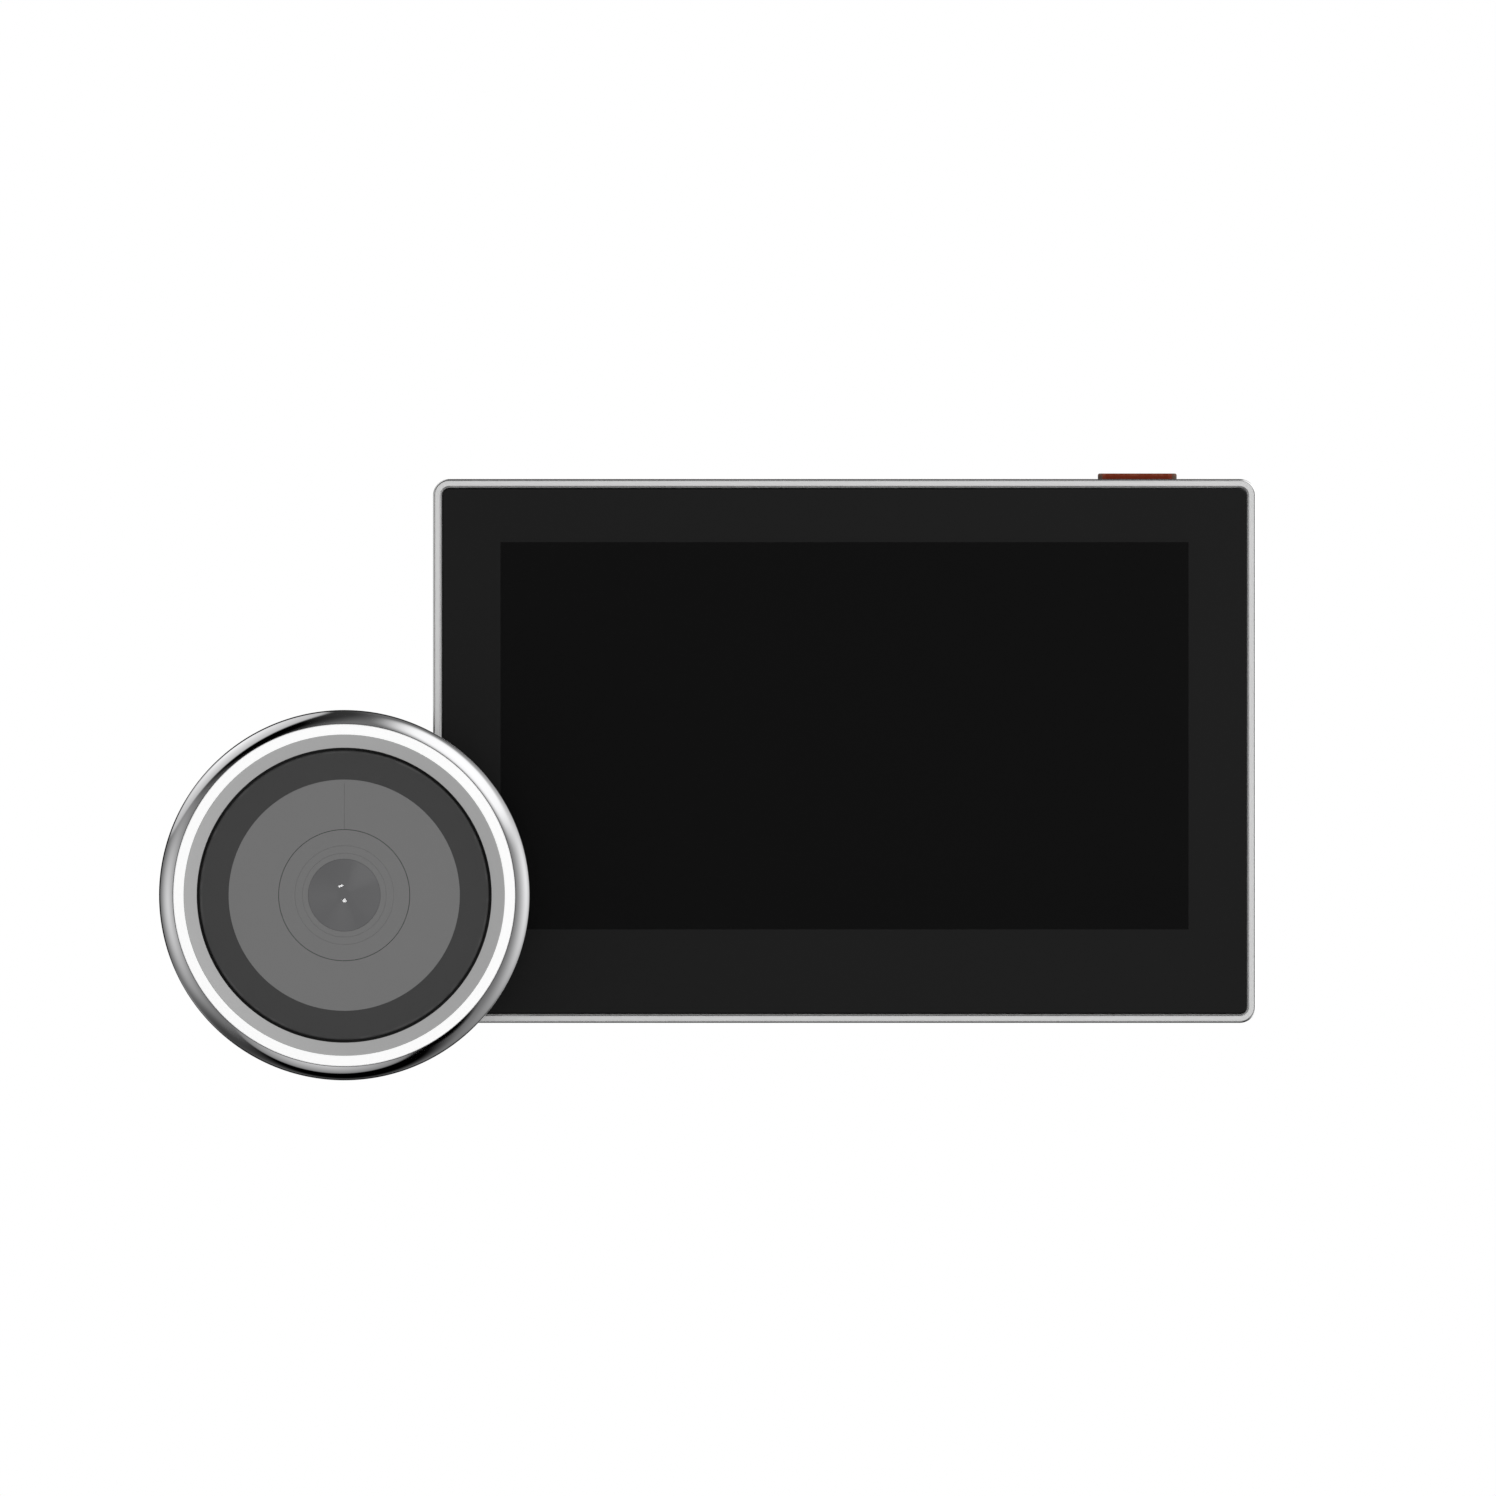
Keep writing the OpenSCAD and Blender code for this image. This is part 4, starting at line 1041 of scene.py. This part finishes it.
def brass_nut(s):
    low, high = box_mm("sleeve_nut")
    grip_r, hub, neck, bore = 14.0, 11.0, 10.0, 7.1
    flutes, flute_r, mouth_r = 18, 1.3, bore + 0.7
    lip, run_in, depth = 0.4, 0.6, 0.45
    plate_back = box_mm("bracket_plate")[1].y
    grip_back, hub_end = plate_back - PLATE_THICK - 0.1, plate_back + 0.1
    shell = Shell()
    grip = shell.skin(scallop_outline(grip_r, flute_r, flutes), [
        (-lip, low.y, 1.0), (0.0, low.y + lip, 1.0), (0.0, grip_back - lip, 1.0), (-lip, grip_back, 1.0),
    ])
    stub = shell.turn(soften([
        (hub, grip_back), (hub, hub_end, 0.15), (neck, hub_end), (neck, high.y, 0.15), (mouth_r, high.y),
    ]), ORIGIN)
    shell.cap(grip[-1], stub[0])
    thread = shell.thread(ORIGIN, bore, low.y + run_in, high.y - run_in, depth, s.thread_pitch, inside=True)
    mouth = shell.loop(circle_outline(mouth_r)(), low.y, 1.0)
    shell.wall(mouth, thread[0])
    shell.wall(thread[-1], stub[-1])
    shell.cap(grip[0], mouth)
    settle(shell.object("brass_nut"), "sleeve_nut", finish(
        "machined_brass", SLOT_COLOUR["nut_brass"], 0.3, tone=0.12, spread=0.1, rings=2600.0, depth=0.006,
        axis=ORIGIN, bare=(0.9, 0.76, 0.45, 1.0), rub=0.6, Metallic=1.0,
    ))


def spring_ring():
    low, high = box_mm("nut_retainer")
    outer, inner, half_mouth, edge = radius_mm("nut_retainer"), 10.02, 2.5, 0.12
    points = []
    for radius, way in ((outer, 1), (inner, -1)):
        off = math.asin(half_mouth / radius)
        points += arc(ORIGIN, radius, off - QUARTER_TURN, 3 * QUARTER_TURN - off, 96)[::way]
    shell = Shell()
    loops = [shell.loop(points, level) for level in (low.y, high.y)]
    shell.wall(*loops)
    for loop in loops:
        shell.bm.faces.new(loop)
    half_way = (low.y + high.y) / 2 * MM
    rims = [e for e in shell.bm.edges if len({v.co.y > half_way for v in e.verts}) == 1]
    bmesh.ops.bevel(shell.bm, geom=rims, offset=edge * MM, segments=2, affect="EDGES")
    settle(shell.object("spring_ring"), "nut_retainer", finish(
        "spring_steel", SLOT_COLOUR["spring_steel"], 0.3, tone=0.15, rings=3000.0, axis=ORIGIN,
        Metallic=1.0,
    ))


class DOORCAM_OT_door_bracket(Operator):
    """Powder coated plate with bent hooks, its foam pad, and the captive brass nut with its ring"""

    bl_idname = "doorcam.door_bracket"
    bl_label = "Door Bracket"

    def execute(self, context):
        s, _ = settings(context)
        hook_plate()
        foam_pad()
        brass_nut(s)
        spring_ring()
        return {"FINISHED"}


# Pieces of the outdoor unit; h has the radii, and the heights above its base, that they share

def head_sizes(s):
    crest_r = radius_mm("head_bezel") - s.chrome_round
    light_in = crest_r - s.light_width
    hub_r = radius_mm("lens_hub") + 0.04
    face = HEAD_BASE - box_mm("face_plate")[0].y
    return SimpleNamespace(
        crest_r=crest_r, bore=crest_r + 0.65, lip=CREST - 2.0, back=CREST - 3.4, top=CREST - RING_PLAY,
        light_in=light_in, bevel_in=light_in - s.bevel_width, plate_r=radius_mm("face_plate"),
        plate_in=hub_r + s.hub_gap, hub_r=hub_r, face=face, seat=face - 1.4,
    )


def head_profile(points, steps=6):
    """Profile of (radius, height, rounding) as (radius, y, rub)."""
    return [(r, HEAD_BASE - h, rub) for r, h, rub in soften(points, steps)]


def head_ring(name, node, points, material, steps=6, **shading):
    shell = Shell()
    shell.turn(head_profile(points, steps), closed=True, count=FINE_SIDES)
    settle(shell.object(name), node, material, **shading)


def chrome_shell(s, c, h):
    edge, meet = radius_mm("head_bezel"), 0.002
    head_ring("chrome_shell", "head_bezel", [
        (h.bore, 0.0), (edge, 0.0, 0.3), (edge, CREST, s.chrome_round - meet), (h.crest_r, CREST),
        (h.crest_r, h.lip), (h.bore, h.lip),
    ], finish(
        "polished_chrome", c.chrome, 0.045, tone=0.02, spread=0.03, patch=120.0, rings=900.0, depth=0.00006,
        Metallic=1.0,
    ), steps=28)


def white_ring(c, h):
    inner, outer, foot = h.light_in + 0.02, h.crest_r - RING_PLAY, h.bore - 2 * RING_PLAY
    step = h.lip - RING_PLAY
    head_ring("white_ring", "light_ring", [
        (inner, h.back), (foot, h.back), (foot, step), (outer, step), (outer, h.top, 0.1),
        (inner, h.top, 0.05),
    ], finish(
        "light_diffuser", c.light, 0.4, tone=0.02, spread=0.05, grain=4000.0, depth=0.001,
        # Painted glow: a faint emission keeps the white ring evenly bright white
        Emission_Color=WHITE, Emission_Strength=0.17,
    ))


def sloping_ring(s, c, h):
    head_ring("sloping_ring", "bevel_ring", [
        (h.bevel_in, h.back), (h.light_in, h.back), (h.light_in, h.top, 0.04),
        (h.bevel_in, CREST - s.bevel_drop, 0.06),
    ], finish(
        "satin_bevel", c.bevel, 0.5, tone=0.04, spread=0.08, rings=5000.0, depth=0.001, Metallic=0.12,
        Specular_IOR_Level=0.25,
    ))


def dark_ring(s, c, h):
    face_r, seat_r, seat_in = h.bevel_in - s.bell_gap, h.plate_r + 0.02, h.plate_r - 1.4
    flange_r, flange_top, flange_low = radius_mm("bell_ring"), CREST - 3.5, CREST - 4.5
    head_ring("dark_ring", "bell_ring", [
        (seat_in, flange_low), (flange_r, flange_low), (flange_r, flange_top), (face_r, flange_top),
        (face_r, h.face, 0.3), (seat_r, h.face), (seat_r, h.seat), (seat_in, h.seat),
    ], finish(
        "dark_satin", c.bell, 0.5, tone=0.05, grain=5000.0, depth=0.003, bare=linear(84, 84, 84), rub=0.4,
    ))


def grey_disc(s, h, grey):
    """Disc of the bell push, with a short upright line cut in it."""
    shell = Shell()
    loops = shell.turn(head_profile([
        (h.plate_in, h.face), (h.plate_in, h.seat), (h.plate_r, h.seat), (h.plate_r, h.face),
    ]), count=FINE_SIDES)
    low, high, level = h.plate_in + 0.05, h.plate_r - 0.58, HEAD_BASE - h.face
    spot = (HEAD_X, HEAD_Z + (low + high) / 2)
    line = rect_outline(s.line_width, high - low, s.line_width / 2.2, spot, 4, 0.01)
    groove = shell.skin(line, [(0.0, level), (-LINE_DEPTH, level + LINE_DEPTH)])
    shell.cap(groove[-1])
    shell.cap(loops[-1], loops[0], groove[0])
    settle(shell.object("grey_disc"), "face_plate", grey)


def grey_hub(s, h, grey):
    """Grey centre round the lens, with two fine circles cut in it."""
    lens_r, half = radius_mm("front_lens") + 0.005, s.line_width / 2
    base, foot, foot_in = h.face - 1.6, h.face - 4.4, h.hub_r - 1.5
    profile = [
        (lens_r, base), (foot_in, base), (foot_in, foot), (h.hub_r - 0.05, foot), (h.hub_r, base),
        (h.hub_r, h.face),
    ]
    for radius in (7.95, 6.74):
        profile += [(radius + half, h.face), (radius, h.face - LINE_DEPTH), (radius - half, h.face)]
    head_ring("grey_hub", "lens_hub", [*profile, (lens_r, h.face, 0.04)], grey, sharp=20.0)


def push_springs():
    low, high = box_mm("bell_springs")
    coil_r, wire, turns, slack = 1.5, 0.22, 4, 0.03
    reach = high.z - HEAD_Z - coil_r - wire
    shell = Shell()
    for angle in (90, 210, 330):
        spot = on_circle(HEAD_CENTRE, reach, math.radians(angle))
        shell.coil(spot, coil_r, wire, high.y, low.y + slack, turns)
    springs = settle(shell.object("push_springs"), "bell_springs", finish(
        "spring_wire", SLOT_COLOUR["spring_steel"], 0.3, tone=0.12, grain=5000.0, depth=0.002, Metallic=1.0,
    ))
    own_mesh(springs)


def domed_lens(c):
    low, high = box_mm("front_lens")
    radius, rise, steps = radius_mm("front_lens"), 0.72, 40
    bend = (radius * radius + rise * rise) / (2 * rise)
    profile = [(radius, high.y), (radius, low.y + rise + 0.05)]
    for k in range(steps):
        r = radius * (1 - k / steps) - 0.02
        profile.append((r, low.y + bend - math.sqrt(bend * bend - r * r)))
    shell = Shell()
    loops = shell.turn(profile)
    shell.cap(loops[0])
    shell.dome(loops[-1], (HEAD_X, low.y, HEAD_Z))
    settle(shell.object("domed_lens"), "front_lens", finish(
        "coated_lens", c.lens, 0.03, tone=0.04, spread=0.01, patch=400.0, rings=700.0, depth=0.00005,
        IOR=1.5, Specular_IOR_Level=0.25,
    ))


def seal_ring(c):
    low, high = box_mm("door_gasket")
    outer, inner, back, groove = radius_mm("door_gasket"), 8.6, high.y, 0.4
    profile = [(inner, low.y), (outer, low.y, 0.15), (outer, back, 0.3)]
    for radius in (26.0, 23.0, 14.0):
        profile += [
            (radius + 0.6, back, 0.1), (radius + 0.2, back - groove), (radius - 0.2, back - groove),
            (radius - 0.6, back, 0.1),
        ]
    shell = Shell()
    shell.turn(soften([*profile, (inner, back, 0.2)], steps=3), closed=True, count=FINE_SIDES)
    settle(shell.object("seal_ring"), "door_gasket", finish(
        "gasket_rubber", c.rubber, 0.7, tone=0.15, spread=0.1, grain=1800.0, depth=0.01, dust=0.06,
    ))


def threaded_stem(s):
    low, high = box_mm("stem")
    flange, neck, stem_r, bore, lip = radius_mm("stem"), 7.8, 7.0, 5.2, 0.25
    head_back, floor = box_mm("door_gasket")[1].y, HEAD_BASE - 2.0
    start, stop = head_back + 2.0, high.y - 0.7
    shell = Shell()
    root = shell.turn(soften([
        (bore, low.y), (flange, low.y), (flange, floor), (neck, floor), (neck, head_back, 0.15),
        (stem_r, head_back), (stem_r, start),
    ]))
    thread = shell.thread(HEAD_CENTRE, stem_r, start, stop, s.thread_depth, s.thread_pitch)
    end = shell.turn([
        (stem_r - 0.55, high.y, 1.0), (bore + lip, high.y, 1.0), (bore, high.y - lip), (bore, low.y),
    ])
    shell.wall(root[-1], thread[0])
    shell.wall(thread[-1], end[0])
    bmesh.ops.remove_doubles(shell.bm, verts=shell.bm.verts, dist=0.0005 * MM)
    settle(shell.object("threaded_stem"), "stem", finish(
        "turned_steel", SLOT_COLOUR["stem_metal"], 0.32, tone=0.12, spread=0.12, patch=150.0, grain=3000.0,
        depth=0.003, Metallic=1.0,
    ), sharp=40.0)


def slotted_grommet(c):
    low, high = box_mm("cable_grommet")
    radius, slot = radius_mm("cable_grommet"), (7.0, 0.9)
    shell = Shell()
    body = shell.turn(soften([
        (radius - 0.4, low.y), (radius, low.y, 0.1), (radius, high.y, 0.3), (radius - 0.8, high.y),
    ], steps=4), count=96)
    mouth = shell.skin(rect_outline(*slot, 0.4, HEAD_CENTRE, 6), [
        (0.0, low.y), (0.0, high.y - 0.5), (0.35, high.y),
    ])
    shell.ends(body, mouth)
    settle(shell.object("slotted_grommet"), "cable_grommet", finish(
        "grommet_rubber", c.rubber, 0.75, tone=0.15, depth=0.008, dust=0.03,
    ))


class DOORCAM_OT_head_rings(Operator):
    """Chrome shell, white light ring and satin sloping ring"""

    bl_idname = "doorcam.head_rings"
    bl_label = "Head Rings"

    def execute(self, context):
        s, c = settings(context)
        h = head_sizes(s)
        chrome_shell(s, c, h)
        white_ring(c, h)
        sloping_ring(s, c, h)
        return {"FINISHED"}


class DOORCAM_OT_bell_push(Operator):
    """Dark ring, grey disc and springs of the bell push, and the grey hub round the lens"""

    bl_idname = "doorcam.bell_push"
    bl_label = "Bell Push"

    def execute(self, context):
        s, c = settings(context)
        h = head_sizes(s)
        grey = finish("grey_satin", c.face, 0.5, tone=0.03, grain=5000.0, depth=0.003)
        dark_ring(s, c, h)
        grey_disc(s, h, grey)
        grey_hub(s, h, grey)
        push_springs()
        return {"FINISHED"}


class DOORCAM_OT_lens(Operator):
    """Domed front lens"""

    bl_idname = "doorcam.lens"
    bl_label = "Lens"

    def execute(self, context):
        _, c = settings(context)
        domed_lens(c)
        return {"FINISHED"}


class DOORCAM_OT_stem(Operator):
    """Gasket with sealing grooves, threaded stem and slotted grommet"""

    bl_idname = "doorcam.stem"
    bl_label = "Stem"

    def execute(self, context):
        s, c = settings(context)
        seal_ring(c)
        threaded_stem(s)
        slotted_grommet(c)
        return {"FINISHED"}


# Finishes of the works inside, which keep their CAD shapes

def circuit_paint(tree):
    """Solder mask with paler tracks and tinned pads."""
    tracks = node(tree, "TexBrick", {
        "Vector": coords(tree), "Color1": (0.02, 0.16, 0.06, 1.0), "Color2": (0.03, 0.2, 0.08, 1.0),
        "Mortar": (0.08, 0.34, 0.15, 1.0), "Scale": 260.0, "Mortar Size": 0.012,
    }).outputs["Color"]
    share = ramp(tree, cells(tree, 420.0), 0.1, 0.14, 1.0, 0.0)
    return blend(tree, share, tracks, (0.62, 0.6, 0.55, 1.0))


def inner_finish(slot):
    """Finish of an inner slot, from its class in the record."""
    base, kind = SLOT_COLOUR[slot], CLASS_OF[slot]
    if slot.startswith("board"):
        return finish(slot, base, 0.3, grain=3000.0, paint=circuit_paint, Coat_Weight=0.3)
    if kind in ("brushed_steel", "aluminium", "brass"):
        return finish(slot, base, 0.32, tone=0.15, spread=0.12, grain=5000.0, depth=0.002, Metallic=1.0)
    if kind == "rubber":
        return finish(slot, base, 0.75, tone=0.15, depth=0.008)
    if kind == "glass":
        return finish(slot, base, 0.06, tone=0.03, spread=0.03, grain=400.0, depth=0.0004, Coat_Weight=0.5)
    if kind == "gloss_plastic":
        return finish(slot, base, 0.22, tone=0.06, grain=3000.0, depth=0.001)
    return finish(slot, base, 0.52, tone=0.12, spread=0.1, grain=3500.0, depth=0.006)


class DOORCAM_OT_inner_works(Operator):
    """Finishes of the boards, battery, sockets and other works inside"""

    bl_idname = "doorcam.inner_works"
    bl_label = "Inner Works"

    def execute(self, context):
        made = {}
        for name, part in frame["nodes"].items():
            if part.hide_render:
                continue
            slot = SLOT_OF[name]
            if slot not in made:
                made[slot] = inner_finish(slot)
            part.data.materials.clear()
            part.data.materials.append(made[slot])
        return {"FINISHED"}


# Studio

# Cards that the metal mirrors. Each has a name, then its middle and half width round the camera's line,
# clockwise from the top, its middle and half width away from that line, all in degrees, then its level in
# the middle and at the edge, the share of it that is soft edge, and how square it is.
CARDS = (
    ("room", 180, 180, 90, 90, 0.17, 0.17, 0.0, 2.0),
    ("wall_right", 85, 68, 100, 122, 0.92, 0.55, 1.0, 2.0),
    ("wall_left", 266, 50, 45, 95, 0.72, 0.5, 1.0, 2.0),
    ("softbox", 42, 35, 55, 64, 1.2, 1.0, 0.5, 3.0),
    ("flag_top", -4, 20, 95, 95, 0.03, 0.06, 0.7, 2.0),
    ("flag_lower_left", 216, 28, 100, 90, 0.05, 0.1, 0.8, 2.0),
    ("flag_upper_left", 332, 34, 40, 72, 0.0, 0.0, 0.6, 2.0),
    ("strip_upper_left", 322, 35, 124, 90, 1.1, 0.5, 0.12, 2.0),
    ("flag_bottom", 179, 44, 30, 128, 0.0, 0.0, 0.4, 2.0),
    ("flag_lower_right", 144, 18, 0, 48, 0.0, 0.0, 0.5, 2.0),
    ("floor_card", 188, 33, 0, 66, 0.7, 0.2, 0.1, 2.0),
    ("flag_rear", 262, 148, 152, 24, 0.0, 0.02, 0.2, 6.0),
    ("streak_rear_high", 308, 18, 136, 15, 0.5, 0.5, 1.0, 2.0),
    ("streak_rear_low", 236, 24, 138, 16, 0.3, 0.3, 1.0, 2.0),
    ("rear_card", 180, 180, 180, 16, 0.6, 0.5, 0.5, 2.0),
    ("flag_front", 180, 180, 0, 6, 0.0, 0.0, 0.3, 2.0),
)
FAR_CARD, CARD_STEP = 3.0, 0.05

# Lamps that only one piece mirrors: a name, the piece, two angles as above, size across and along, turn
# and power
GLINTS = (
    ("lens_spot", "domed_lens", 178, 4.3, 0.042, 0.042, 0, 0.14),
    ("lens_streak", "domed_lens", 339, 7.7, 0.064, 0.02, 22, 0.115),
    ("rim_edge", "rim_frame", 90, 90, 1.6, 1.6, 0, 4.0),
)
GLINT_DISTANCE = 0.8

# The screen unit and its bracket stay out of what the camera head mirrors, as if lit one by one
SCREEN_BODIES = ("bracket", "sleeve_nut", "indoor_unit", "wake_button")


def direction(clock, lean):
    """Unit vector at angles in degrees, clockwise from the top and away from the camera's line."""
    turn, tilt = math.radians(clock), math.radians(lean)
    return Vector((math.sin(tilt) * math.sin(turn), -math.cos(tilt), math.sin(tilt) * math.cos(turn)))


def white_world(scene, fill):
    """White to the eye and in mirrors, and dimmer as a light."""
    world = bpy.data.worlds.new("white_studio")
    scene.world = world
    world.use_nodes = True
    tree = world.node_tree
    tree.nodes.clear()
    path = node(tree, "LightPath").outputs
    seen = calc(tree, "MAXIMUM", path["Is Camera Ray"], path["Is Glossy Ray"])
    seen = calc(tree, "MAXIMUM", seen, path["Is Transmission Ray"])
    soft = node(tree, "Background", {"Strength": fill, "Color": WHITE})
    white = node(tree, "Background", {"Strength": 1.0, "Color": WHITE})
    mixed = mix_shaders(tree, seen, soft, white)
    node(tree, "OutputWorld", {"Surface": mixed.outputs[0]}).is_active_output = True
    world.cycles.sampling_method = "NONE"


def floor_material():
    """Pale near the object, glowing white far out, and clear from below."""
    material = new_material("pale_floor")
    tree = material.node_tree
    shader = tree.nodes["Principled BSDF"]
    shader.inputs["Base Color"].default_value = (0.9, 0.9, 0.9, 1.0)
    shader.inputs["Roughness"].default_value = 0.8
    shader.inputs["Specular IOR Level"].default_value = 0.1
    out = node(tree, "VectorMath", {0: coords(tree)}, operation="LENGTH").outputs["Value"]
    white = node(tree, "Emission", {"Strength": 1.0})
    mixed = mix_shaders(tree, ramp(tree, out, 0.25, 0.8, 0.35, 1.0), shader, white)
    below = node(tree, "NewGeometry").outputs["Backfacing"]
    sided = mix_shaders(tree, below, mixed, node(tree, "BsdfTransparent"))
    tree.links.new(sided.outputs[0], tree.nodes["Material Output"].inputs["Surface"])
    material.cycles.emission_sampling = "NONE"
    return material


def pale_floor(height):
    bm = bmesh.new()
    bmesh.ops.create_circle(bm, cap_ends=True, radius=3.0, segments=96)
    floor = mesh_object("pale_floor", bm)
    floor.location = (0.0, 0.0, height)
    floor.data.materials.append(floor_material())
    hide_from(floor, "glossy")
    floor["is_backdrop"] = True


def card_material(name):
    """Glows where the card covers, and is clear elsewhere."""
    material = new_material(name)
    tree = material.node_tree
    tree.nodes.clear()
    glow = node(tree, "Emission", {"Strength": attribute(tree, "shine")})
    mixed = mix_shaders(tree, attribute(tree, "cover"), node(tree, "BsdfTransparent"), glow)
    node(tree, "OutputMaterial", {"Surface": mixed.outputs[0]})
    material.cycles.emission_sampling = "NONE"
    return material


def mirror_card(centre, distance, name, clock, half_clock, lean, half_lean, level, rim, soft, square):
    """Part of a sphere round the object that only mirror rays see, with a soft edge."""
    bm = bmesh.new()
    cover, shine = (bm.verts.layers.float.new(label) for label in ("cover", "shine"))
    steps, whole = 60, half_clock >= 180
    low, high = max(0.0, lean - half_lean), min(180.0, lean + half_lean)
    grid = []
    for i in range(steps + 1):
        row, tilt = [], low + (high - low) * i / steps
        for k in range(steps + 1):
            turn = clock + half_clock * (2 * k / steps - 1)
            vert = bm.verts.new(centre + direction(turn, tilt) * distance)
            side = 0.0 if whole else abs(turn - clock) / half_clock
            off = (side ** square + (abs(tilt - lean) / half_lean) ** square) ** (1 / square)
            share = min(1.0, max(0.0, (1 - off) / soft)) if soft else 1.0
            vert[cover] = share * share * (3 - 2 * share)
            vert[shine] = level + (rim - level) * min(1.0, off)
            row.append(vert)
        grid.append(row)
    for near, far in zip(grid, grid[1:]):
        for k in range(steps):
            bm.faces.new((near[k], near[k + 1], far[k + 1], far[k]))
    card = mesh_object(name, bm)
    card.data.materials.append(card_material(name))
    hide_from(card, "camera", "diffuse", "shadow", "transmission")
    card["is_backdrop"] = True


def area_lamp(name, place, aim, size, watts):
    light = bpy.data.lights.new(name, "AREA")
    light.size = size
    light.energy = watts
    lamp = linked(name, light)
    lamp.location = place
    lamp.rotation_euler = (aim - place).to_track_quat("-Z", "Y").to_euler()
    return lamp


def glint(centre, name, piece, clock, lean, across, along, turn, watts):
    """Lamp that one piece mirrors, past whatever stands between them."""
    only = bpy.data.collections.new(name)
    only.objects.link(bpy.data.objects[piece])
    lamp = area_lamp(name, centre + direction(clock, lean) * GLINT_DISTANCE, centre, across, watts)
    lamp.rotation_euler.rotate_axis("Z", math.radians(turn))
    lamp.data.shape = "ELLIPSE"
    lamp.data.size_y = along
    hide_from(lamp, "camera", "diffuse")
    lamp.light_linking.receiver_collection = only
    lamp.light_linking.blocker_collection = only


def photo_camera(scene, studio):
    camera = bpy.data.cameras.new("photo_camera")
    camera.type = "ORTHO"
    camera.ortho_scale = studio.view_width
    view = linked("photo_camera", camera)
    view.location = (studio.view_x, -0.8, studio.view_z)
    view.rotation_euler = (QUARTER_TURN, 0.0, 0.0)
    scene.camera = view


class DOORCAM_OT_studio(Operator):
    """White studio with a pale floor, dark and grey cards for the metal to mirror, lamps and the camera"""

    bl_idname = "doorcam.studio"
    bl_label = "Studio"

    def execute(self, context):
        scene, studio = context.scene, context.scene.doorcam_studio
        scene.view_settings.view_transform = "Standard"
        white_world(scene, studio.fill)
        pale_floor(studio.floor_z)
        head = Vector((HEAD_X, HEAD_FRONT, HEAD_Z)) * MM
        for rank, card in enumerate(CARDS):
            mirror_card(head, FAR_CARD - CARD_STEP * rank, *card)
        centre = Vector((studio.view_x, -0.03, studio.view_z))
        for name, offset, size, watts in (
            ("key_lamp", (0.74, -0.66, 0.04), 0.5, studio.key_power),
            ("top_lamp", (-0.1, 0.1, 0.95), 0.6, studio.top_power),
            ("rear_lamp", (-0.55, 0.75, 0.35), 0.6, studio.rear_power),
        ):
            hide_from(area_lamp(name, centre + Vector(offset), centre, size, watts), "glossy")
        for row in GLINTS:
            glint(head, *row)
        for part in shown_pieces():
            if body_of(part)[0] in SCREEN_BODIES:
                hide_from(part, "glossy")
        photo_camera(scene, studio)
        return {"FINISHED"}


OPERATORS = (
    DOORCAM_OT_rim_frame, DOORCAM_OT_front_glass, DOORCAM_OT_wake_key, DOORCAM_OT_back_shell,
    DOORCAM_OT_small_hardware, DOORCAM_OT_door_bracket, DOORCAM_OT_head_rings, DOORCAM_OT_bell_push,
    DOORCAM_OT_lens, DOORCAM_OT_stem, DOORCAM_OT_inner_works, DOORCAM_OT_studio,
)


class DOORCAM_PT_panel(Panel):
    """Lists the pieces, their sizes and colours, and the studio."""

    bl_idname = "DOORCAM_PT_panel"
    bl_label = "Door Camera"
    bl_space_type = "VIEW_3D"
    bl_region_type = "UI"
    bl_category = "Door Camera"

    def draw(self, context):
        scene = context.scene
        for made in OPERATORS:
            self.layout.operator(made.bl_idname)
        for group in (scene.doorcam_sizes, scene.doorcam_colours, scene.doorcam_studio):
            column = self.layout.box().column()
            for key in group.__annotations__:
                column.prop(group, key)


CLASSES = (DoorCameraSizes, DoorCameraColours, DoorCameraStudio, *OPERATORS, DOORCAM_PT_panel)


def register():
    for made in CLASSES:
        bpy.utils.register_class(made)
    bpy.types.Scene.doorcam_sizes = PointerProperty(type=DoorCameraSizes)
    bpy.types.Scene.doorcam_colours = PointerProperty(type=DoorCameraColours)
    bpy.types.Scene.doorcam_studio = PointerProperty(type=DoorCameraStudio)


def unregister():
    del bpy.types.Scene.doorcam_sizes
    del bpy.types.Scene.doorcam_colours
    del bpy.types.Scene.doorcam_studio
    for made in reversed(CLASSES):
        bpy.utils.unregister_class(made)


def main():
    register()
    make_groups()
    for made in OPERATORS:
        group, name = made.bl_idname.split(".")
        getattr(getattr(bpy.ops, group), name)()


if __name__ == "__main__":
    main()
